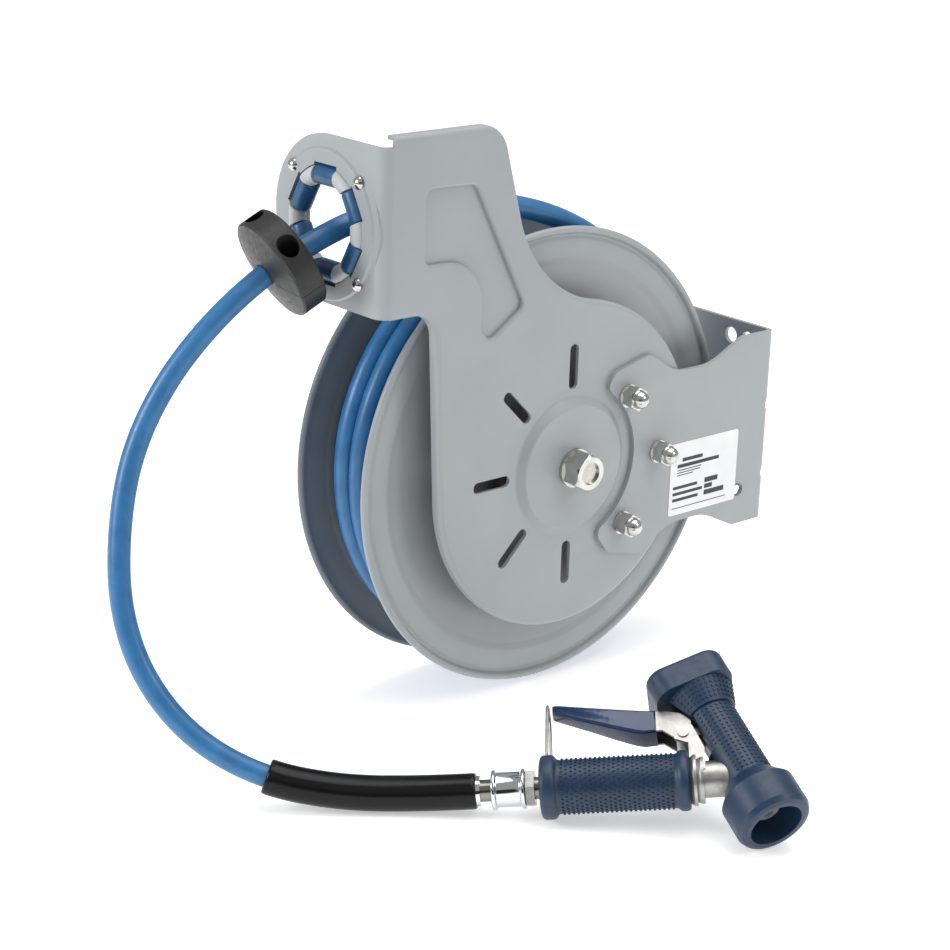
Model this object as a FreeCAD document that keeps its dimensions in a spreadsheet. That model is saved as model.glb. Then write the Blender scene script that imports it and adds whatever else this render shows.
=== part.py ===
# Spring rewind hose reel: one stamped guide arm on a wall bracket, a drum on a fixed hollow
# spindle, a six roller fairlead, a hose with a bumper stop and a squeeze-lever spray gun.
# Millimetres, +Z up, +Y into the wall. The row origin is the centre of the wall bolt pattern, on
# the wall. Pieces are drawn about the spindle axis (X, drum centre at 0) or about the gun's
# grip axis (X, from the hose towards the barrel) and each gets a Placement into the row frame.
import FreeCAD, Part
import math
import os
import Sketcher
from FreeCAD import Vector, Rotation, Placement

os.makedirs("parts", exist_ok=True)
doc = FreeCAD.newDocument("hose_reel")

# ---------------------------------------------------------------------------------------------
# Driving dimensions: alias, value, what it is
# ---------------------------------------------------------------------------------------------
DIMENSIONS = [
    ("running_fit", 0.05, "radial clearance of a turning fit"),
    ("side_gap", 0.3, "face clearance between pieces that move past each other"),
    ("wall_distance", 224, "spindle axis to wall"),
    ("bracket_drop", 5.5, "bracket centre below the spindle axis"),
    # stamped guide arm
    ("arm_face", 66, "outer face of the side plate, from the drum centre"),
    ("arm_sheet", 3, "guide arm sheet"),
    ("arm_lip", 9, "depth of the arm's turned edge"),
    ("arm_edge_radius", 4, "outer radius of the arm's turned edge"),
    ("arm_disc_radius", 131.5, "side plate disc round the spindle"),
    ("arm_top", 276, "top edge of the arm above the spindle"),
    ("arm_front", 190, "front plate face ahead of the spindle"),
    ("arm_fold_radius", 10, "outer radius of the fold between side and front plate"),
    ("arm_corner_radius", 25, "rear top corner"),
    ("arm_neck_forward", 43, "centre of the neck curve behind the spindle"),
    ("arm_neck_up", 233, "centre of the neck curve above the spindle"),
    ("arm_lean", 16, "lean of the rear edge, degrees"),
    ("arm_throat_height", 143, "lower edge of the front part above the spindle"),
    ("arm_throat_back", 138, "front edge of the lower part ahead of the spindle"),
    ("arm_throat_radius", 20, "corner under the front plate"),
    ("boss_radius", 56, "pressed boss round the spindle"),
    ("boss_height", 5, "boss proud of the side plate"),
    ("vent_radius", 80.5, "circle of the vent slots"),
    ("vent_length", 36, "vent slot length"),
    ("vent_width", 9, "vent slot width"),
    ("rib_depth", 4, "pressed panel depth"),
    ("front_plate_radius", 62, "round end of the front plate"),
    ("front_plate_top", 268.5, "top of the front plate above the spindle"),
    ("front_pad_radius", 56.5, "raised round pad of the front plate"),
    ("front_pad_height", 1.5, "pad proud of the front plate"),
    # wall bracket
    ("bracket_sheet", 4, "wall bracket plate"),
    ("bracket_half_height", 82, "half height of the bracket"),
    ("bracket_half_width", 70, "half width of the wall plate"),
    ("bracket_fold_radius", 7, "outer radius of the bracket's fold"),
    ("wall_hole_radius", 6.7, "wall bolt hole"),
    ("wall_hole_wide", 43, "outer wall holes, each side of the centre"),
    ("wall_hole_narrow", 24, "inner wall holes, each side of the centre"),
    ("wall_hole_up", 68, "wall holes above and below the bracket centre"),
    ("wing_bolt_back", 56, "outer arm bolts behind the spindle"),
    ("wing_bolt_middle", 93, "middle arm bolt behind the spindle"),
    ("wing_bolt_up", 53, "outer arm bolts above and below the middle one"),
    ("wing_bolt_drop", 4.5, "middle arm bolt below the spindle"),
    ("arm_bolt_radius", 5, "arm bolt"),
    ("arm_bolt_clear", 0.25, "bolt hole clearance"),
    ("arm_nut_flats", 16, "arm nut across flats"),
    ("label_length", 78, "data label length"),
    ("label_height", 62, "data label height"),
    ("label_thick", 0.4, "data label thickness"),
    # spindle
    ("spindle_radius", 12.5, "bearing diameter of the spindle, half"),
    ("ring_groove", 1.5, "depth of the retaining ring's groove"),
    ("shoulder_radius", 17, "spindle shoulder under the arm"),
    ("stud_radius", 9, "threaded end through the arm"),
    ("stud_end", 88.5, "end of the stud from the drum centre"),
    ("spindle_nut_flats", 27, "spindle nut across flats"),
    ("spindle_nut_height", 16.6, "spindle nut height"),
    ("spindle_washer_thick", 3, "washer under the spindle nut"),
    ("inlet_radius", 10.5, "spindle's inlet thread"),
    ("inlet_end", 72, "inlet end of the spindle from the drum centre"),
    ("water_radius", 6, "water way"),
    # drum
    ("flange_radius", 185, "flange over the rolled rim"),
    ("flange_sheet", 2, "flange sheet"),
    ("rim_radius", 3, "rolled rim bead"),
    ("drum_half_width", 35.5, "flange inner face from the drum centre"),
    ("flange_step", 2, "outward step of the flange near its rim"),
    ("core_radius", 118, "drum core"),
    ("core_wall", 2, "drum core wall"),
    ("case_radius", 100, "spring case"),
    ("case_depth", 28, "spring case depth"),
    ("case_wall", 2, "spring case wall"),
    ("hub_radius", 23, "hub through the flange"),
    ("hub_end", 41.5, "outer end of each hub from the drum centre"),
    ("hub_length", 13.5, "hub length"),
    ("bush_radius", 16, "outside of the bushes"),
    ("tie_circle", 108, "circle of the drum's tie bolts"),
    ("tie_radius", 3, "tie bolt"),
    ("ratchet_tip", 46, "ratchet tooth tips"),
    ("ratchet_root", 39.5, "ratchet tooth roots"),
    ("ratchet_thick", 4, "ratchet thickness"),
    ("ratchet_teeth", 12, "number of teeth"),
    ("spring_strip", 1, "rewind spring strip thickness"),
    ("spring_inner", 34, "inner turn of the rewind spring"),
    ("spring_half_pitch", 2.15, "growth of the rewind spring in half a turn"),
    ("spring_half_turns", 28, "half turns of the rewind spring"),
    # hose
    ("hose_radius", 8.5, "outside of the hose, half"),
    ("layer_pitch", 15.3, "height of a wound layer on the one below"),
    ("lane_start", 17.4, "near side of the lane that the leaving turn lies in"),
    ("lane_floor", 148.8, "bottom of that lane"),
    # fairlead
    ("fairlead_height", 203, "roller ring centre above the spindle"),
    ("roller_radius", 8, "guide roller"),
    ("roller_length", 24, "guide roller length"),
    ("roller_circle", 35, "roller axes from the ring centre"),
    ("roller_depth", 186, "plane of the roller axes ahead of the spindle"),
    ("roller_pin_radius", 2, "roller pin"),
    ("roller_pin_length", 36, "roller pin length"),
    ("block_circle", 37, "corner blocks' round section, from the ring centre"),
    ("block_radius", 6.5, "corner blocks' section"),
    ("fairlead_screw_side", 39, "carrier screws each side of the centre"),
    ("fairlead_screw_up", 37, "carrier screws above and below the centre"),
    ("screw_radius", 2.5, "carrier screw"),
    # bumper
    ("bumper_radius", 39.5, "hose stop"),
    ("bumper_thick", 32, "hose stop thickness"),
    ("bumper_rim", 18, "width of the hose stop's rim"),
    ("bumper_bore_radius", 7.6, "screw wells of the hose stop"),
    ("bumper_bore_side", 20.5, "screw wells from the hose"),
    ("bumper_turn", -22, "turn of the hose stop about the hose, degrees"),
    # hose end
    ("sleeve_radius", 13, "outside of the hose end sleeve"),
    ("sleeve_end", 46, "sleeve end behind the grip"),
    ("ferrule_radius", 10.9, "hose ferrule"),
    ("swivel_radius", 12.5, "swivel body"),
    ("swivel_bead_radius", 14.3, "beads of the swivel body"),
    ("spigot_radius", 7, "gun's inlet spigot"),
    # gun
    ("gun_side", 224, "grip's hose end, X from the drum centre"),
    ("gun_forward", 163, "grip's hose end ahead of the spindle"),
    ("gun_down", 167, "grip's hose end below the spindle"),
    ("gun_heading", 45, "turn of the grip axis in plan, degrees"),
    ("gun_pitch", 7.2, "climb of the grip axis, degrees"),
    ("gun_roll", -60, "roll of the gun about the grip, degrees"),
    ("grip_length", 106, "rubber grip length"),
    ("grip_radius", 20, "rubber grip"),
    ("grip_flange_radius", 22.9, "flange at the grip's hose end"),
    ("barrel_forward", 146, "barrel axis crosses the grip axis here"),
    ("barrel_angle", 66.2, "barrel axis to grip axis, degrees"),
    ("barrel_radius", 14, "steel barrel"),
    ("barrel_rear", -88, "rear end of the steel barrel"),
    ("barrel_nose", 20, "front end of the steel barrel"),
    ("boot_rear", -98, "rear face of the rubber boot"),
    ("boot_nose", 44.8, "front face of the rubber boot"),
    ("boot_block", 27, "half width of the boot's rear block"),
    ("boot_ring_radius", 28, "boot's nose ring"),
    ("boot_mouth_radius", 19.7, "mouth of the nose ring"),
    ("pivot_along", 103, "lever pivot along the grip"),
    ("pivot_up", 32, "lever pivot off the grip axis"),
    ("pivot_radius", 2.5, "lever pivot pin"),
    ("lever_half_width", 9.5, "lever channel, half"),
    ("lever_tip", 4.5, "half width of the lever at its free end"),
    ("lever_sheet", 1.8, "lever steel"),
    ("cover_thick", 0.9, "vinyl dip on the lever"),
    ("bail_along", 6, "bail hinge along the grip"),
    ("bail_up", 15, "bail hinge off the grip axis"),
    ("bail_side", 19, "bail legs from the gun's middle plane"),
    ("bail_wire", 1.25, "bail wire, half"),
    ("bail_top", 67, "top of the bail off the grip axis"),
    ("stem_radius", 4, "valve stem"),
]


class Size:
    """A number from the sheet, or worked out of several, with the expression that gives it."""

    def __init__(self, number, text):
        self.number = number
        self.text = text

    def __add__(self, other):
        return Size(self.number + number(other), "(%s + %s)" % (self.text, text(other)))

    def __sub__(self, other):
        return Size(self.number - number(other), "(%s - %s)" % (self.text, text(other)))

    def __rsub__(self, other):
        return Size(number(other) - self.number, "(%s - %s)" % (text(other), self.text))

    def __mul__(self, other):
        return Size(self.number * number(other), "(%s * %s)" % (self.text, text(other)))

    def __truediv__(self, other):
        return Size(self.number / number(other), "(%s / %s)" % (self.text, text(other)))

    def __neg__(self):
        return Size(-self.number, "(0 - %s)" % self.text)

    __radd__ = __add__
    __rmul__ = __mul__


def number(value):
    return value.number if isinstance(value, Size) else float(value)


def text(value):
    return value.text if isinstance(value, Size) else repr(float(value))


class Sheet:
    """Attributes are the sheet's aliases."""


sheet = doc.addObject("Spreadsheet::Sheet", "Sizes")
s = Sheet()
for row, (alias, value, meaning) in enumerate(DIMENSIONS, start=1):
    sheet.set("A%d" % row, meaning)
    sheet.set("B%d" % row, str(value))
    sheet.setAlias("B%d" % row, alias)
    setattr(s, alias, Size(float(value), "Sizes." + alias))
doc.recompute()

# ---------------------------------------------------------------------------------------------
# Ways of making shapes
# ---------------------------------------------------------------------------------------------
TURNS = {
    "X": Rotation(Vector(0, 1, 0), 90),
    "Y": Rotation(Vector(1, 0, 0), -90),
    "Z": Rotation(),
    "-Z": Rotation(Vector(1, 0, 0), 180),
}
ORIGIN = (0, 0, 0)


def bind(obj, **sizes):
    """Sets properties, and binds those that come from the sheet."""
    for name, value in sizes.items():
        setattr(obj, name, number(value))
        if isinstance(value, Size):
            obj.setExpression(name, value.text)
    return obj


def put(obj, at, turn=Rotation()):
    """Places obj, and binds the coordinates that come from the sheet."""
    obj.Placement = Placement(Vector(*[number(c) for c in at]), turn)
    for axis, value in zip("xyz", at):
        if isinstance(value, Size):
            obj.setExpression("Placement.Base." + axis, value.text)
    return obj


def cylinder(radius, length, at=ORIGIN, along="X"):
    obj = doc.addObject("Part::Cylinder", "cylinder")
    return put(bind(obj, Radius=radius, Height=length), at, TURNS[along])


def cone(radius_1, radius_2, length, at=ORIGIN, along="X"):
    obj = doc.addObject("Part::Cone", "cone")
    return put(bind(obj, Radius1=radius_1, Radius2=radius_2, Height=length), at, TURNS[along])


def ring(major, minor, at=ORIGIN, along="X"):
    obj = doc.addObject("Part::Torus", "torus")
    return put(bind(obj, Radius1=major, Radius2=minor), at, TURNS[along])


def block(size, at):
    obj = doc.addObject("Part::Box", "block")
    return put(bind(obj, Length=size[0], Width=size[1], Height=size[2]), at)


def hexagon(flats, height, at=ORIGIN, along="X"):
    obj = doc.addObject("Part::Prism", "hexagon")
    obj.Polygon = 6
    return put(bind(obj, Circumradius=flats / math.sqrt(3), Height=height), at, TURNS[along])


def joined(*objects):
    obj = doc.addObject("Part::MultiFuse", "joined")
    obj.Shapes = list(objects)
    return obj


def group(*objects):
    obj = doc.addObject("Part::Compound", "group")
    obj.Links = list(objects)
    return obj


def cut(base, *tools):
    obj = doc.addObject("Part::Cut", "cut")
    obj.Base = base
    obj.Tool = tools[0] if len(tools) == 1 else group(*tools)
    return obj


def feature(shape):
    """A shape that was made with Part's own functions."""
    obj = doc.addObject("Part::Feature", "shape")
    obj.Shape = shape
    return obj


def origin_plane(body, role):
    return [f for f in body.Origin.OriginFeatures if f.Role == role][0]


def profile_sketch(body, role, points):
    """A closed outline of straight lines, its corners dimensioned from the sketch origin."""
    sketch = body.newObject("Sketcher::SketchObject", "outline")
    sketch.AttachmentSupport = (origin_plane(body, role), [""])
    sketch.MapMode = "FlatFace"
    count = len(points)
    corners = [Vector(number(a), number(b), 0) for a, b in points]
    for i in range(count):
        sketch.addGeometry(Part.LineSegment(corners[i], corners[(i + 1) % count]))
    for i in range(count):
        sketch.addConstraint(Sketcher.Constraint("Coincident", i, 2, (i + 1) % count, 1))
    for i, point in enumerate(points):
        for kind, value in zip(("DistanceX", "DistanceY"), point):
            if number(value) == 0:
                axis = -2 if kind == "DistanceX" else -1
                sketch.addConstraint(Sketcher.Constraint("PointOnObject", i, 1, axis))
                continue
            rule = Sketcher.Constraint(kind, -1, 1, i, 1, number(value))
            index = sketch.addConstraint(rule)
            if isinstance(value, Size):
                sketch.setExpression("Constraints[%d]" % index, value.text)
    return sketch


def turned(points):
    """A body turned about X from a profile of (x, radius) points."""
    body = doc.addObject("PartDesign::Body", "turned")
    spin = body.newObject("PartDesign::Revolution", "revolution")
    spin.Profile = profile_sketch(body, "XY_Plane", points)
    spin.ReferenceAxis = (spin.Profile[0], ["H_Axis"])
    spin.Angle = 360
    return body


def pressed(points, thick, start=0):
    """A plate in the YZ plane, thick towards +X, from an outline of (y, z) points."""
    body = doc.addObject("PartDesign::Body", "plate")
    pad = body.newObject("PartDesign::Pad", "pad")
    pad.Profile = profile_sketch(body, "YZ_Plane", points)
    bind(pad, Length=thick)
    return put(body, (start, 0, 0))


def rounded_outline(corners):
    """Edges of a closed (a, b, radius) polygon with its corners rounded, as a, b pairs."""
    spans = []
    count = len(corners)
    for i, (a, b, radius) in enumerate(corners):
        here = Vector(a, b, 0)
        before = Vector(corners[i - 1][0], corners[i - 1][1], 0) - here
        after = Vector(corners[(i + 1) % count][0], corners[(i + 1) % count][1], 0) - here
        if radius == 0:
            spans.append((here, None, here))
            continue
        half = before.getAngle(after) / 2
        before.normalize()
        after.normalize()
        reach = radius / math.tan(half)
        middle = here + (before + after).normalize() * (radius / math.sin(half) - radius)
        spans.append((here + before * reach, middle, here + after * reach))
    edges = []
    for i, (start, middle, end) in enumerate(spans):
        if middle is not None:
            edges.append(Part.Arc(start, middle, end).toShape())
        following = spans[(i + 1) % count][0]
        if end.distanceToPoint(following) > 1e-6:
            edges.append(Part.LineSegment(end, following).toShape())
    return edges


def side_face(edges, x):
    """A face in the YZ plane at x, from edges drawn as (y, z)."""
    wire = Part.Wire(Part.__sortEdges__(edges))
    face = Part.Face(wire)
    face.Placement = Placement(Vector(x, 0, 0), Rotation(Vector(1, 1, 1), 120))
    return face


def side_slab(edges, start, end):
    return side_face(edges, start).extrude(Vector(end - start, 0, 0))


# ---------------------------------------------------------------------------------------------
# Sub-parts: a label, and a Placement into the row frame
# ---------------------------------------------------------------------------------------------
subparts = []
GUN_TURN = (
    Rotation(Vector(0, 0, 1), s.gun_heading.number)
    * Rotation(Vector(0, 1, 0), -s.gun_pitch.number)
    * Rotation(Vector(1, 0, 0), s.gun_roll.number)
)
GUN_PLACE = Placement(
    Vector(s.gun_side.number, -s.gun_forward.number, -s.gun_down.number), GUN_TURN
)


def reel_part(label, obj):
    """A sub-part drawn about the spindle."""
    obj.Label = label
    put(obj, (0, -s.wall_distance, s.bracket_drop))
    subparts.append(obj)


def gun_part(label, obj):
    """A sub-part drawn about the gun's grip axis."""
    obj.Label = label
    at = (s.gun_side, -s.gun_forward - s.wall_distance, s.bracket_drop - s.gun_down)
    put(obj, at, GUN_TURN)
    subparts.append(obj)


# ---------------------------------------------------------------------------------------------
# Guide arm: one stamping, with a side plate, a fold and a front plate
# ---------------------------------------------------------------------------------------------
def arm_outline(inset, front):
    """The side plate's outline, inset by a wall, from the fold line at y = -front."""
    disc = s.arm_disc_radius.number - inset
    neck = Vector(s.arm_neck_forward.number, s.arm_neck_up.number, 0)
    neck_radius = neck.Length - s.arm_disc_radius.number + inset
    lean = math.radians(s.arm_lean.number)
    top = s.arm_top.number - inset
    throat = s.arm_throat_height.number + inset
    back = s.arm_throat_back.number - inset
    corner = s.arm_corner_radius.number - inset
    notch = s.arm_throat_radius.number + inset
    join = neck * (disc / neck.Length)
    join_middle_angle = (math.pi + lean + math.atan2(-neck.y, -neck.x) + 2 * math.pi) / 2
    join_middle = neck + Vector(math.cos(join_middle_angle), math.sin(join_middle_angle), 0) * neck_radius
    neck_start = neck + Vector(-math.cos(lean), -math.sin(lean), 0) * neck_radius
    edge = Vector(-math.sin(lean), math.cos(lean), 0)
    top_corner = neck_start + edge * ((top - neck_start.y) / edge.y)
    reach = corner * math.tan((math.pi / 2 - lean) / 2)
    corner_start = top_corner + Vector(-reach, 0, 0)
    corner_end = top_corner - edge * reach
    corner_centre = corner_start + Vector(0, -corner, 0)
    corner_middle = corner_centre + (top_corner - corner_centre).normalize() * corner
    low = Vector(-disc * math.cos(math.radians(45)), -disc * math.sin(math.radians(45)), 0)
    bottom_middle = Vector(disc * math.cos(math.radians(45)), -disc * math.sin(math.radians(45)), 0)
    bottom = Vector(0, -disc, 0)
    notch_corner = Vector(-back, throat, 0)
    notch_in = notch_corner + Vector(0, -notch, 0)
    # the front edge leaves the disc at a tangent
    left_angle = math.atan2(notch_in.y, notch_in.x) + math.acos(disc / notch_in.Length)
    left = Vector(disc * math.cos(left_angle), disc * math.sin(left_angle), 0)
    notch_out = notch_corner + Vector(-notch, 0, 0)
    notch_centre = notch_corner + Vector(-notch, -notch, 0)
    notch_middle = notch_centre + Vector(notch, notch, 0).normalize() * notch
    fold_top = Vector(-front, top, 0)
    fold_low = Vector(-front, throat, 0)
    return [
        Part.LineSegment(fold_top, corner_start).toShape(),
        Part.Arc(corner_start, corner_middle, corner_end).toShape(),
        Part.LineSegment(corner_end, neck_start).toShape(),
        Part.Arc(neck_start, join_middle, join).toShape(),
        Part.Arc(join, bottom_middle, bottom).toShape(),
        Part.Arc(bottom, low, left).toShape(),
        Part.LineSegment(left, notch_in).toShape(),
        Part.Arc(notch_in, notch_middle, notch_out).toShape(),
        Part.LineSegment(notch_out, fold_low).toShape(),
        Part.LineSegment(fold_low, fold_top).toShape(),
    ]


def arm_rib(grow):
    """The pressed panel of the side plate, grown by a wall."""
    corners = [
        (-150, 235, 6), (-104, 234, 8), (-53, 137, 8), (-86, 114, 6),
        (-95, 124, 4), (-95, 179, 34), (-150, 179.5, 6),
    ]
    edges = rounded_outline(corners)
    if grow == 0:
        return edges
    wire = Part.Wire(Part.__sortEdges__(edges))
    return wire.makeOffset2D(grow).Edges


def x_cylinder(radius, start, end, y=0, z=0):
    return Part.makeCylinder(radius, end - start, Vector(start, y, z), Vector(1, 0, 0))


def y_cylinder(radius, start, end, x=0, z=0):
    return Part.makeCylinder(radius, end - start, Vector(x, start, z), Vector(0, 1, 0))


ROLLER_ANGLES = [30 + 60 * i for i in range(6)]
WING_BOLTS = [
    (s.wing_bolt_back, s.wing_bolt_up - s.wing_bolt_drop),
    (s.wing_bolt_middle, -s.wing_bolt_drop),
    (s.wing_bolt_back, -s.wing_bolt_up - s.wing_bolt_drop),
]
FAIRLEAD_SCREWS = [
    (i * s.fairlead_screw_side, s.fairlead_height + k * s.fairlead_screw_up)
    for i in (-1, 1)
    for k in (-1, 1)
]


def roller_turn(angle):
    """Turns what is drawn for the top roller, about the ring centre, to its place."""
    return Rotation(Vector(0, 1, 0), 90 - angle)


def ring_place(angle):
    return Placement(Vector(0, 0, s.fairlead_height.number), roller_turn(angle))


def roller_pocket(gap, front, back):
    """Room for the top roller, from the ring's middle outwards."""
    half = s.roller_length.number / 2 + gap
    outer = s.roller_circle.number + s.roller_radius.number + gap
    inner = s.roller_circle.number - s.roller_radius.number - gap
    return Part.makeBox(
        2 * half, back - front, outer - inner,
        Vector(-half, front, inner),
    )


def guide_arm():
    face = s.arm_face.number
    sheet_thick = s.arm_sheet.number
    front = s.arm_front.number
    fold = s.arm_fold_radius.number
    inner = face - sheet_thick
    pan = side_slab(arm_outline(0, front - fold), face - s.arm_lip.number, face)
    rim = []
    for edge in pan.Edges:
        box = edge.BoundBox
        at_face = box.XMin > face - 0.01
        at_fold = box.YMax < -(front - fold) + 0.01
        if at_face and not at_fold:
            rim.append(edge)
    pan = pan.makeFillet(s.arm_edge_radius.number, rim)
    hollow = side_slab(arm_outline(sheet_thick, front), face - s.arm_lip.number - 1, inner)
    arm = pan.cut(hollow)
    # boss round the spindle
    boss = s.boss_radius.number
    rise = s.boss_height.number
    taper = rise + 1
    outer_boss = Part.makeCone(boss, boss - taper, rise, Vector(face, 0, 0), Vector(1, 0, 0))
    inner_boss = Part.makeCone(
        boss - sheet_thick, boss - sheet_thick - taper, rise, Vector(inner, 0, 0), Vector(1, 0, 0)
    )
    arm = arm.fuse(outer_boss).cut(inner_boss)
    arm = arm.cut(x_cylinder(s.stud_radius.number + 0.2, inner, face + rise + 1))
    # pressed panel, sunk into the plate with a wall of the same sheet
    depth = s.rib_depth.number
    arm = arm.fuse(side_slab(arm_rib(sheet_thick), inner - depth, inner))
    arm = arm.cut(side_slab(arm_rib(0), face - depth, face + 1))
    soft = []
    for edge in arm.Edges:
        box = edge.BoundBox
        flat = abs(box.XMax - face) < 0.01 and box.XLength < 0.01
        if flat and box.YMin > -151 and box.YMax < -50 and box.ZMin > 112 and box.ZMax < 236:
            soft.append(edge)
        elif box.XLength < 0.01 and abs(box.YLength - box.ZLength) < 0.1 and box.XMax > face - 0.01:
            if abs(box.Center.y) < 0.01 and abs(box.Center.z) < 0.01 and box.YLength > boss:
                soft.append(edge)
    arm = arm.makeFillet(2.4, soft)
    # vent slots, radial, clear of the bracket
    vents = []
    straight = s.vent_length.number - s.vent_width.number
    half_width = s.vent_width.number / 2
    for angle in (90, 135, 180, 225, 270):
        middle = s.vent_radius.number
        slot = Part.makeBox(
            face, straight, 2 * half_width, Vector(face / 2, middle - straight / 2, -half_width)
        )
        for end in (-1, 1):
            slot = slot.fuse(x_cylinder(half_width, face / 2, 1.5 * face, middle + end * straight / 2))
        slot.rotate(Vector(), Vector(1, 0, 0), angle)
        vents.append(slot)
    arm = arm.cut(Part.makeCompound(vents))
    for y, z in WING_BOLTS:
        hole = s.arm_bolt_radius.number + s.arm_bolt_clear.number
        arm = arm.cut(x_cylinder(hole, inner - 1, face + 1, y.number, z.number))
    # fold and front plate
    height = s.front_plate_top.number
    low = height - 2 * s.front_plate_radius.number
    centre_z = height - s.front_plate_radius.number
    bend = face - fold
    tube = Part.makeCylinder(fold, height - low, Vector(bend, fold - front, low))
    tube = tube.cut(Part.makeCylinder(fold - sheet_thick, height - low, Vector(bend, fold - front, low)))
    quarter = Part.makeBox(fold, fold, height - low, Vector(bend, -front, low))
    plate = Part.makeBox(bend, sheet_thick, height - low, Vector(0, -front, low))
    plate = plate.fuse(y_cylinder(s.front_plate_radius.number, -front, sheet_thick - front, 0, centre_z))
    pad = Part.makeCone(
        s.front_pad_radius.number, s.front_pad_radius.number - s.front_pad_height.number,
        s.front_pad_height.number, Vector(0, -front, s.fairlead_height.number), Vector(0, -1, 0),
    )
    arm = arm.fuse([tube.common(quarter), plate, pad])
    # star-shaped cut-out: a round hole with a slot for each roller
    gap = 0.5
    star = [y_cylinder(
        s.block_circle.number + s.block_radius.number + gap - 0.2,
        -front - 5, -front + 10, 0, s.fairlead_height.number,
    )]
    for angle in ROLLER_ANGLES:
        pocket = roller_pocket(1.2, -front - 5, -front + 10)
        pocket.Placement = ring_place(angle)
        star.append(pocket)
    for x, z in FAIRLEAD_SCREWS:
        star.append(y_cylinder(s.screw_radius.number + 0.2, -front - 5, -front + 10, number(x), z.number))
    arm = arm.cut(Part.makeCompound(star))
    return feature(arm.removeSplitter())


# ---------------------------------------------------------------------------------------------
# Wall bracket: a wing outside the arm, folded to a wall plate
# ---------------------------------------------------------------------------------------------
def wall_bracket():
    face = s.arm_face.number
    thick = s.bracket_sheet.number
    wall = s.wall_distance.number
    half = s.bracket_half_height.number
    drop = s.bracket_drop.number
    fold = s.bracket_fold_radius.number
    upper = [
        (wall - fold, half, 0), (186, half, 14), (150, 64.5, 45), (110, 64.5, 45),
        (79, 84, 11), (42, 75, 14), (31, 60, 6),
    ]
    lower = [(y, -z, radius) for y, z, radius in reversed(upper)]
    outline = [(y, z - drop, radius) for y, z, radius in upper + lower]
    wing = side_slab(rounded_outline(outline), face, face + thick)
    # clears the boss, with round tips where the bay meets the front edge
    bay = s.boss_radius.number + 10
    wing = wing.cut(x_cylinder(bay, face - 1, face + thick + 1))
    tips = []
    for edge in wing.Edges:
        middle = edge.BoundBox.Center
        across = math.hypot(middle.y, middle.z)
        if abs(edge.BoundBox.XLength - thick) < 0.01 and abs(across - bay) < 0.5:
            if edge.BoundBox.YLength < 0.01:
                tips.append(edge)
    wing = wing.makeFillet(7, tips)
    outer = face + thick
    corner = Vector(outer - fold, wall - fold, -half - drop)
    tube = Part.makeCylinder(fold, 2 * half, corner)
    tube = tube.cut(Part.makeCylinder(fold - thick, 2 * half, corner))
    tube = tube.common(Part.makeBox(fold, fold, 2 * half, corner))
    width = s.bracket_half_width.number
    plate = Part.makeBox(
        outer - fold + width, thick, 2 * half, Vector(-width, wall - thick, -half - drop)
    )
    far = [e for e in plate.Edges if e.BoundBox.XMax < -width + 0.01 and e.BoundBox.YLength > 1]
    plate = plate.makeFillet(12, far)
    bracket = wing.fuse([tube, plate])
    holes = []
    for y, z in WING_BOLTS:
        radius = s.arm_bolt_radius.number + s.arm_bolt_clear.number
        holes.append(x_cylinder(radius, face - 1, outer + 1, y.number, z.number))
    holes.append(x_cylinder(6, face - 1, outer + 1, 191, -57))
    for x in (s.wall_hole_wide.number, s.wall_hole_narrow.number):
        for side in (-1, 1):
            for k in (-1, 1):
                z = k * s.wall_hole_up.number - drop
                holes.append(y_cylinder(s.wall_hole_radius.number, wall - thick - 1, wall + 1, side * x, z))
    # pressed gussets show as dents across the fold
    for z in (18, -42):
        holes.append(Part.makeSphere(8.5, Vector(outer + 2.5, wall + 2.5, z - drop)))
    return feature(bracket.cut(Part.makeCompound(holes)).removeSplitter())


reel_part("guide_arm", guide_arm())
reel_part("wall_bracket", wall_bracket())

WING_FACE = s.arm_face + s.bracket_sheet
BOLT_HEAD = 6
FLANGE_NUT = 7
CAP_HEX = 6
DOME_RADIUS = 7.2
bolts = []
lock_nuts = []
cap_nuts = []
for y, z in WING_BOLTS:
    head_start = s.arm_face - s.arm_sheet - BOLT_HEAD
    shank_length = s.arm_sheet + s.bracket_sheet + FLANGE_NUT + CAP_HEX - 1
    head = hexagon(s.arm_nut_flats, BOLT_HEAD, (head_start, y, z))
    shank = cylinder(s.arm_bolt_radius - 0.1, shank_length + 0.5, (s.arm_face - s.arm_sheet - 0.5, y, z))
    bolts.append(joined(head, shank))
    washer = cylinder(9.4, 1.6, (WING_FACE, y, z))
    nut = hexagon(s.arm_nut_flats, FLANGE_NUT - 1.6, (WING_FACE + 1.6, y, z))
    nut_hole = cylinder(s.arm_bolt_radius, FLANGE_NUT + 2, (WING_FACE - 1, y, z))
    lock_nuts.append(cut(joined(washer, nut), nut_hole))
    cap_start = WING_FACE + FLANGE_NUT
    cap = hexagon(s.arm_nut_flats + 0.8, CAP_HEX, (cap_start, y, z))
    neck = cone(DOME_RADIUS + 0.6, DOME_RADIUS, 1.5, (cap_start + CAP_HEX - 0.2, y, z))
    dome = doc.addObject("Part::Sphere", "dome")
    put(bind(dome, Radius=DOME_RADIUS), (cap_start + CAP_HEX + 1, y, z))
    keep = block((20, 40, 40), (cap_start + CAP_HEX, y - 20, z - 20))
    round_top = doc.addObject("Part::Common", "round_top")
    round_top.Base = dome
    round_top.Tool = keep
    cap_hole = cylinder(s.arm_bolt_radius, CAP_HEX + 1, (cap_start - 1, y, z))
    cap_nuts.append(cut(joined(cap, neck, round_top), cap_hole))
reel_part("bracket_bolts", group(*bolts))
reel_part("bracket_lock_nuts", group(*lock_nuts))
reel_part("bracket_cap_nuts", group(*cap_nuts))

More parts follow.
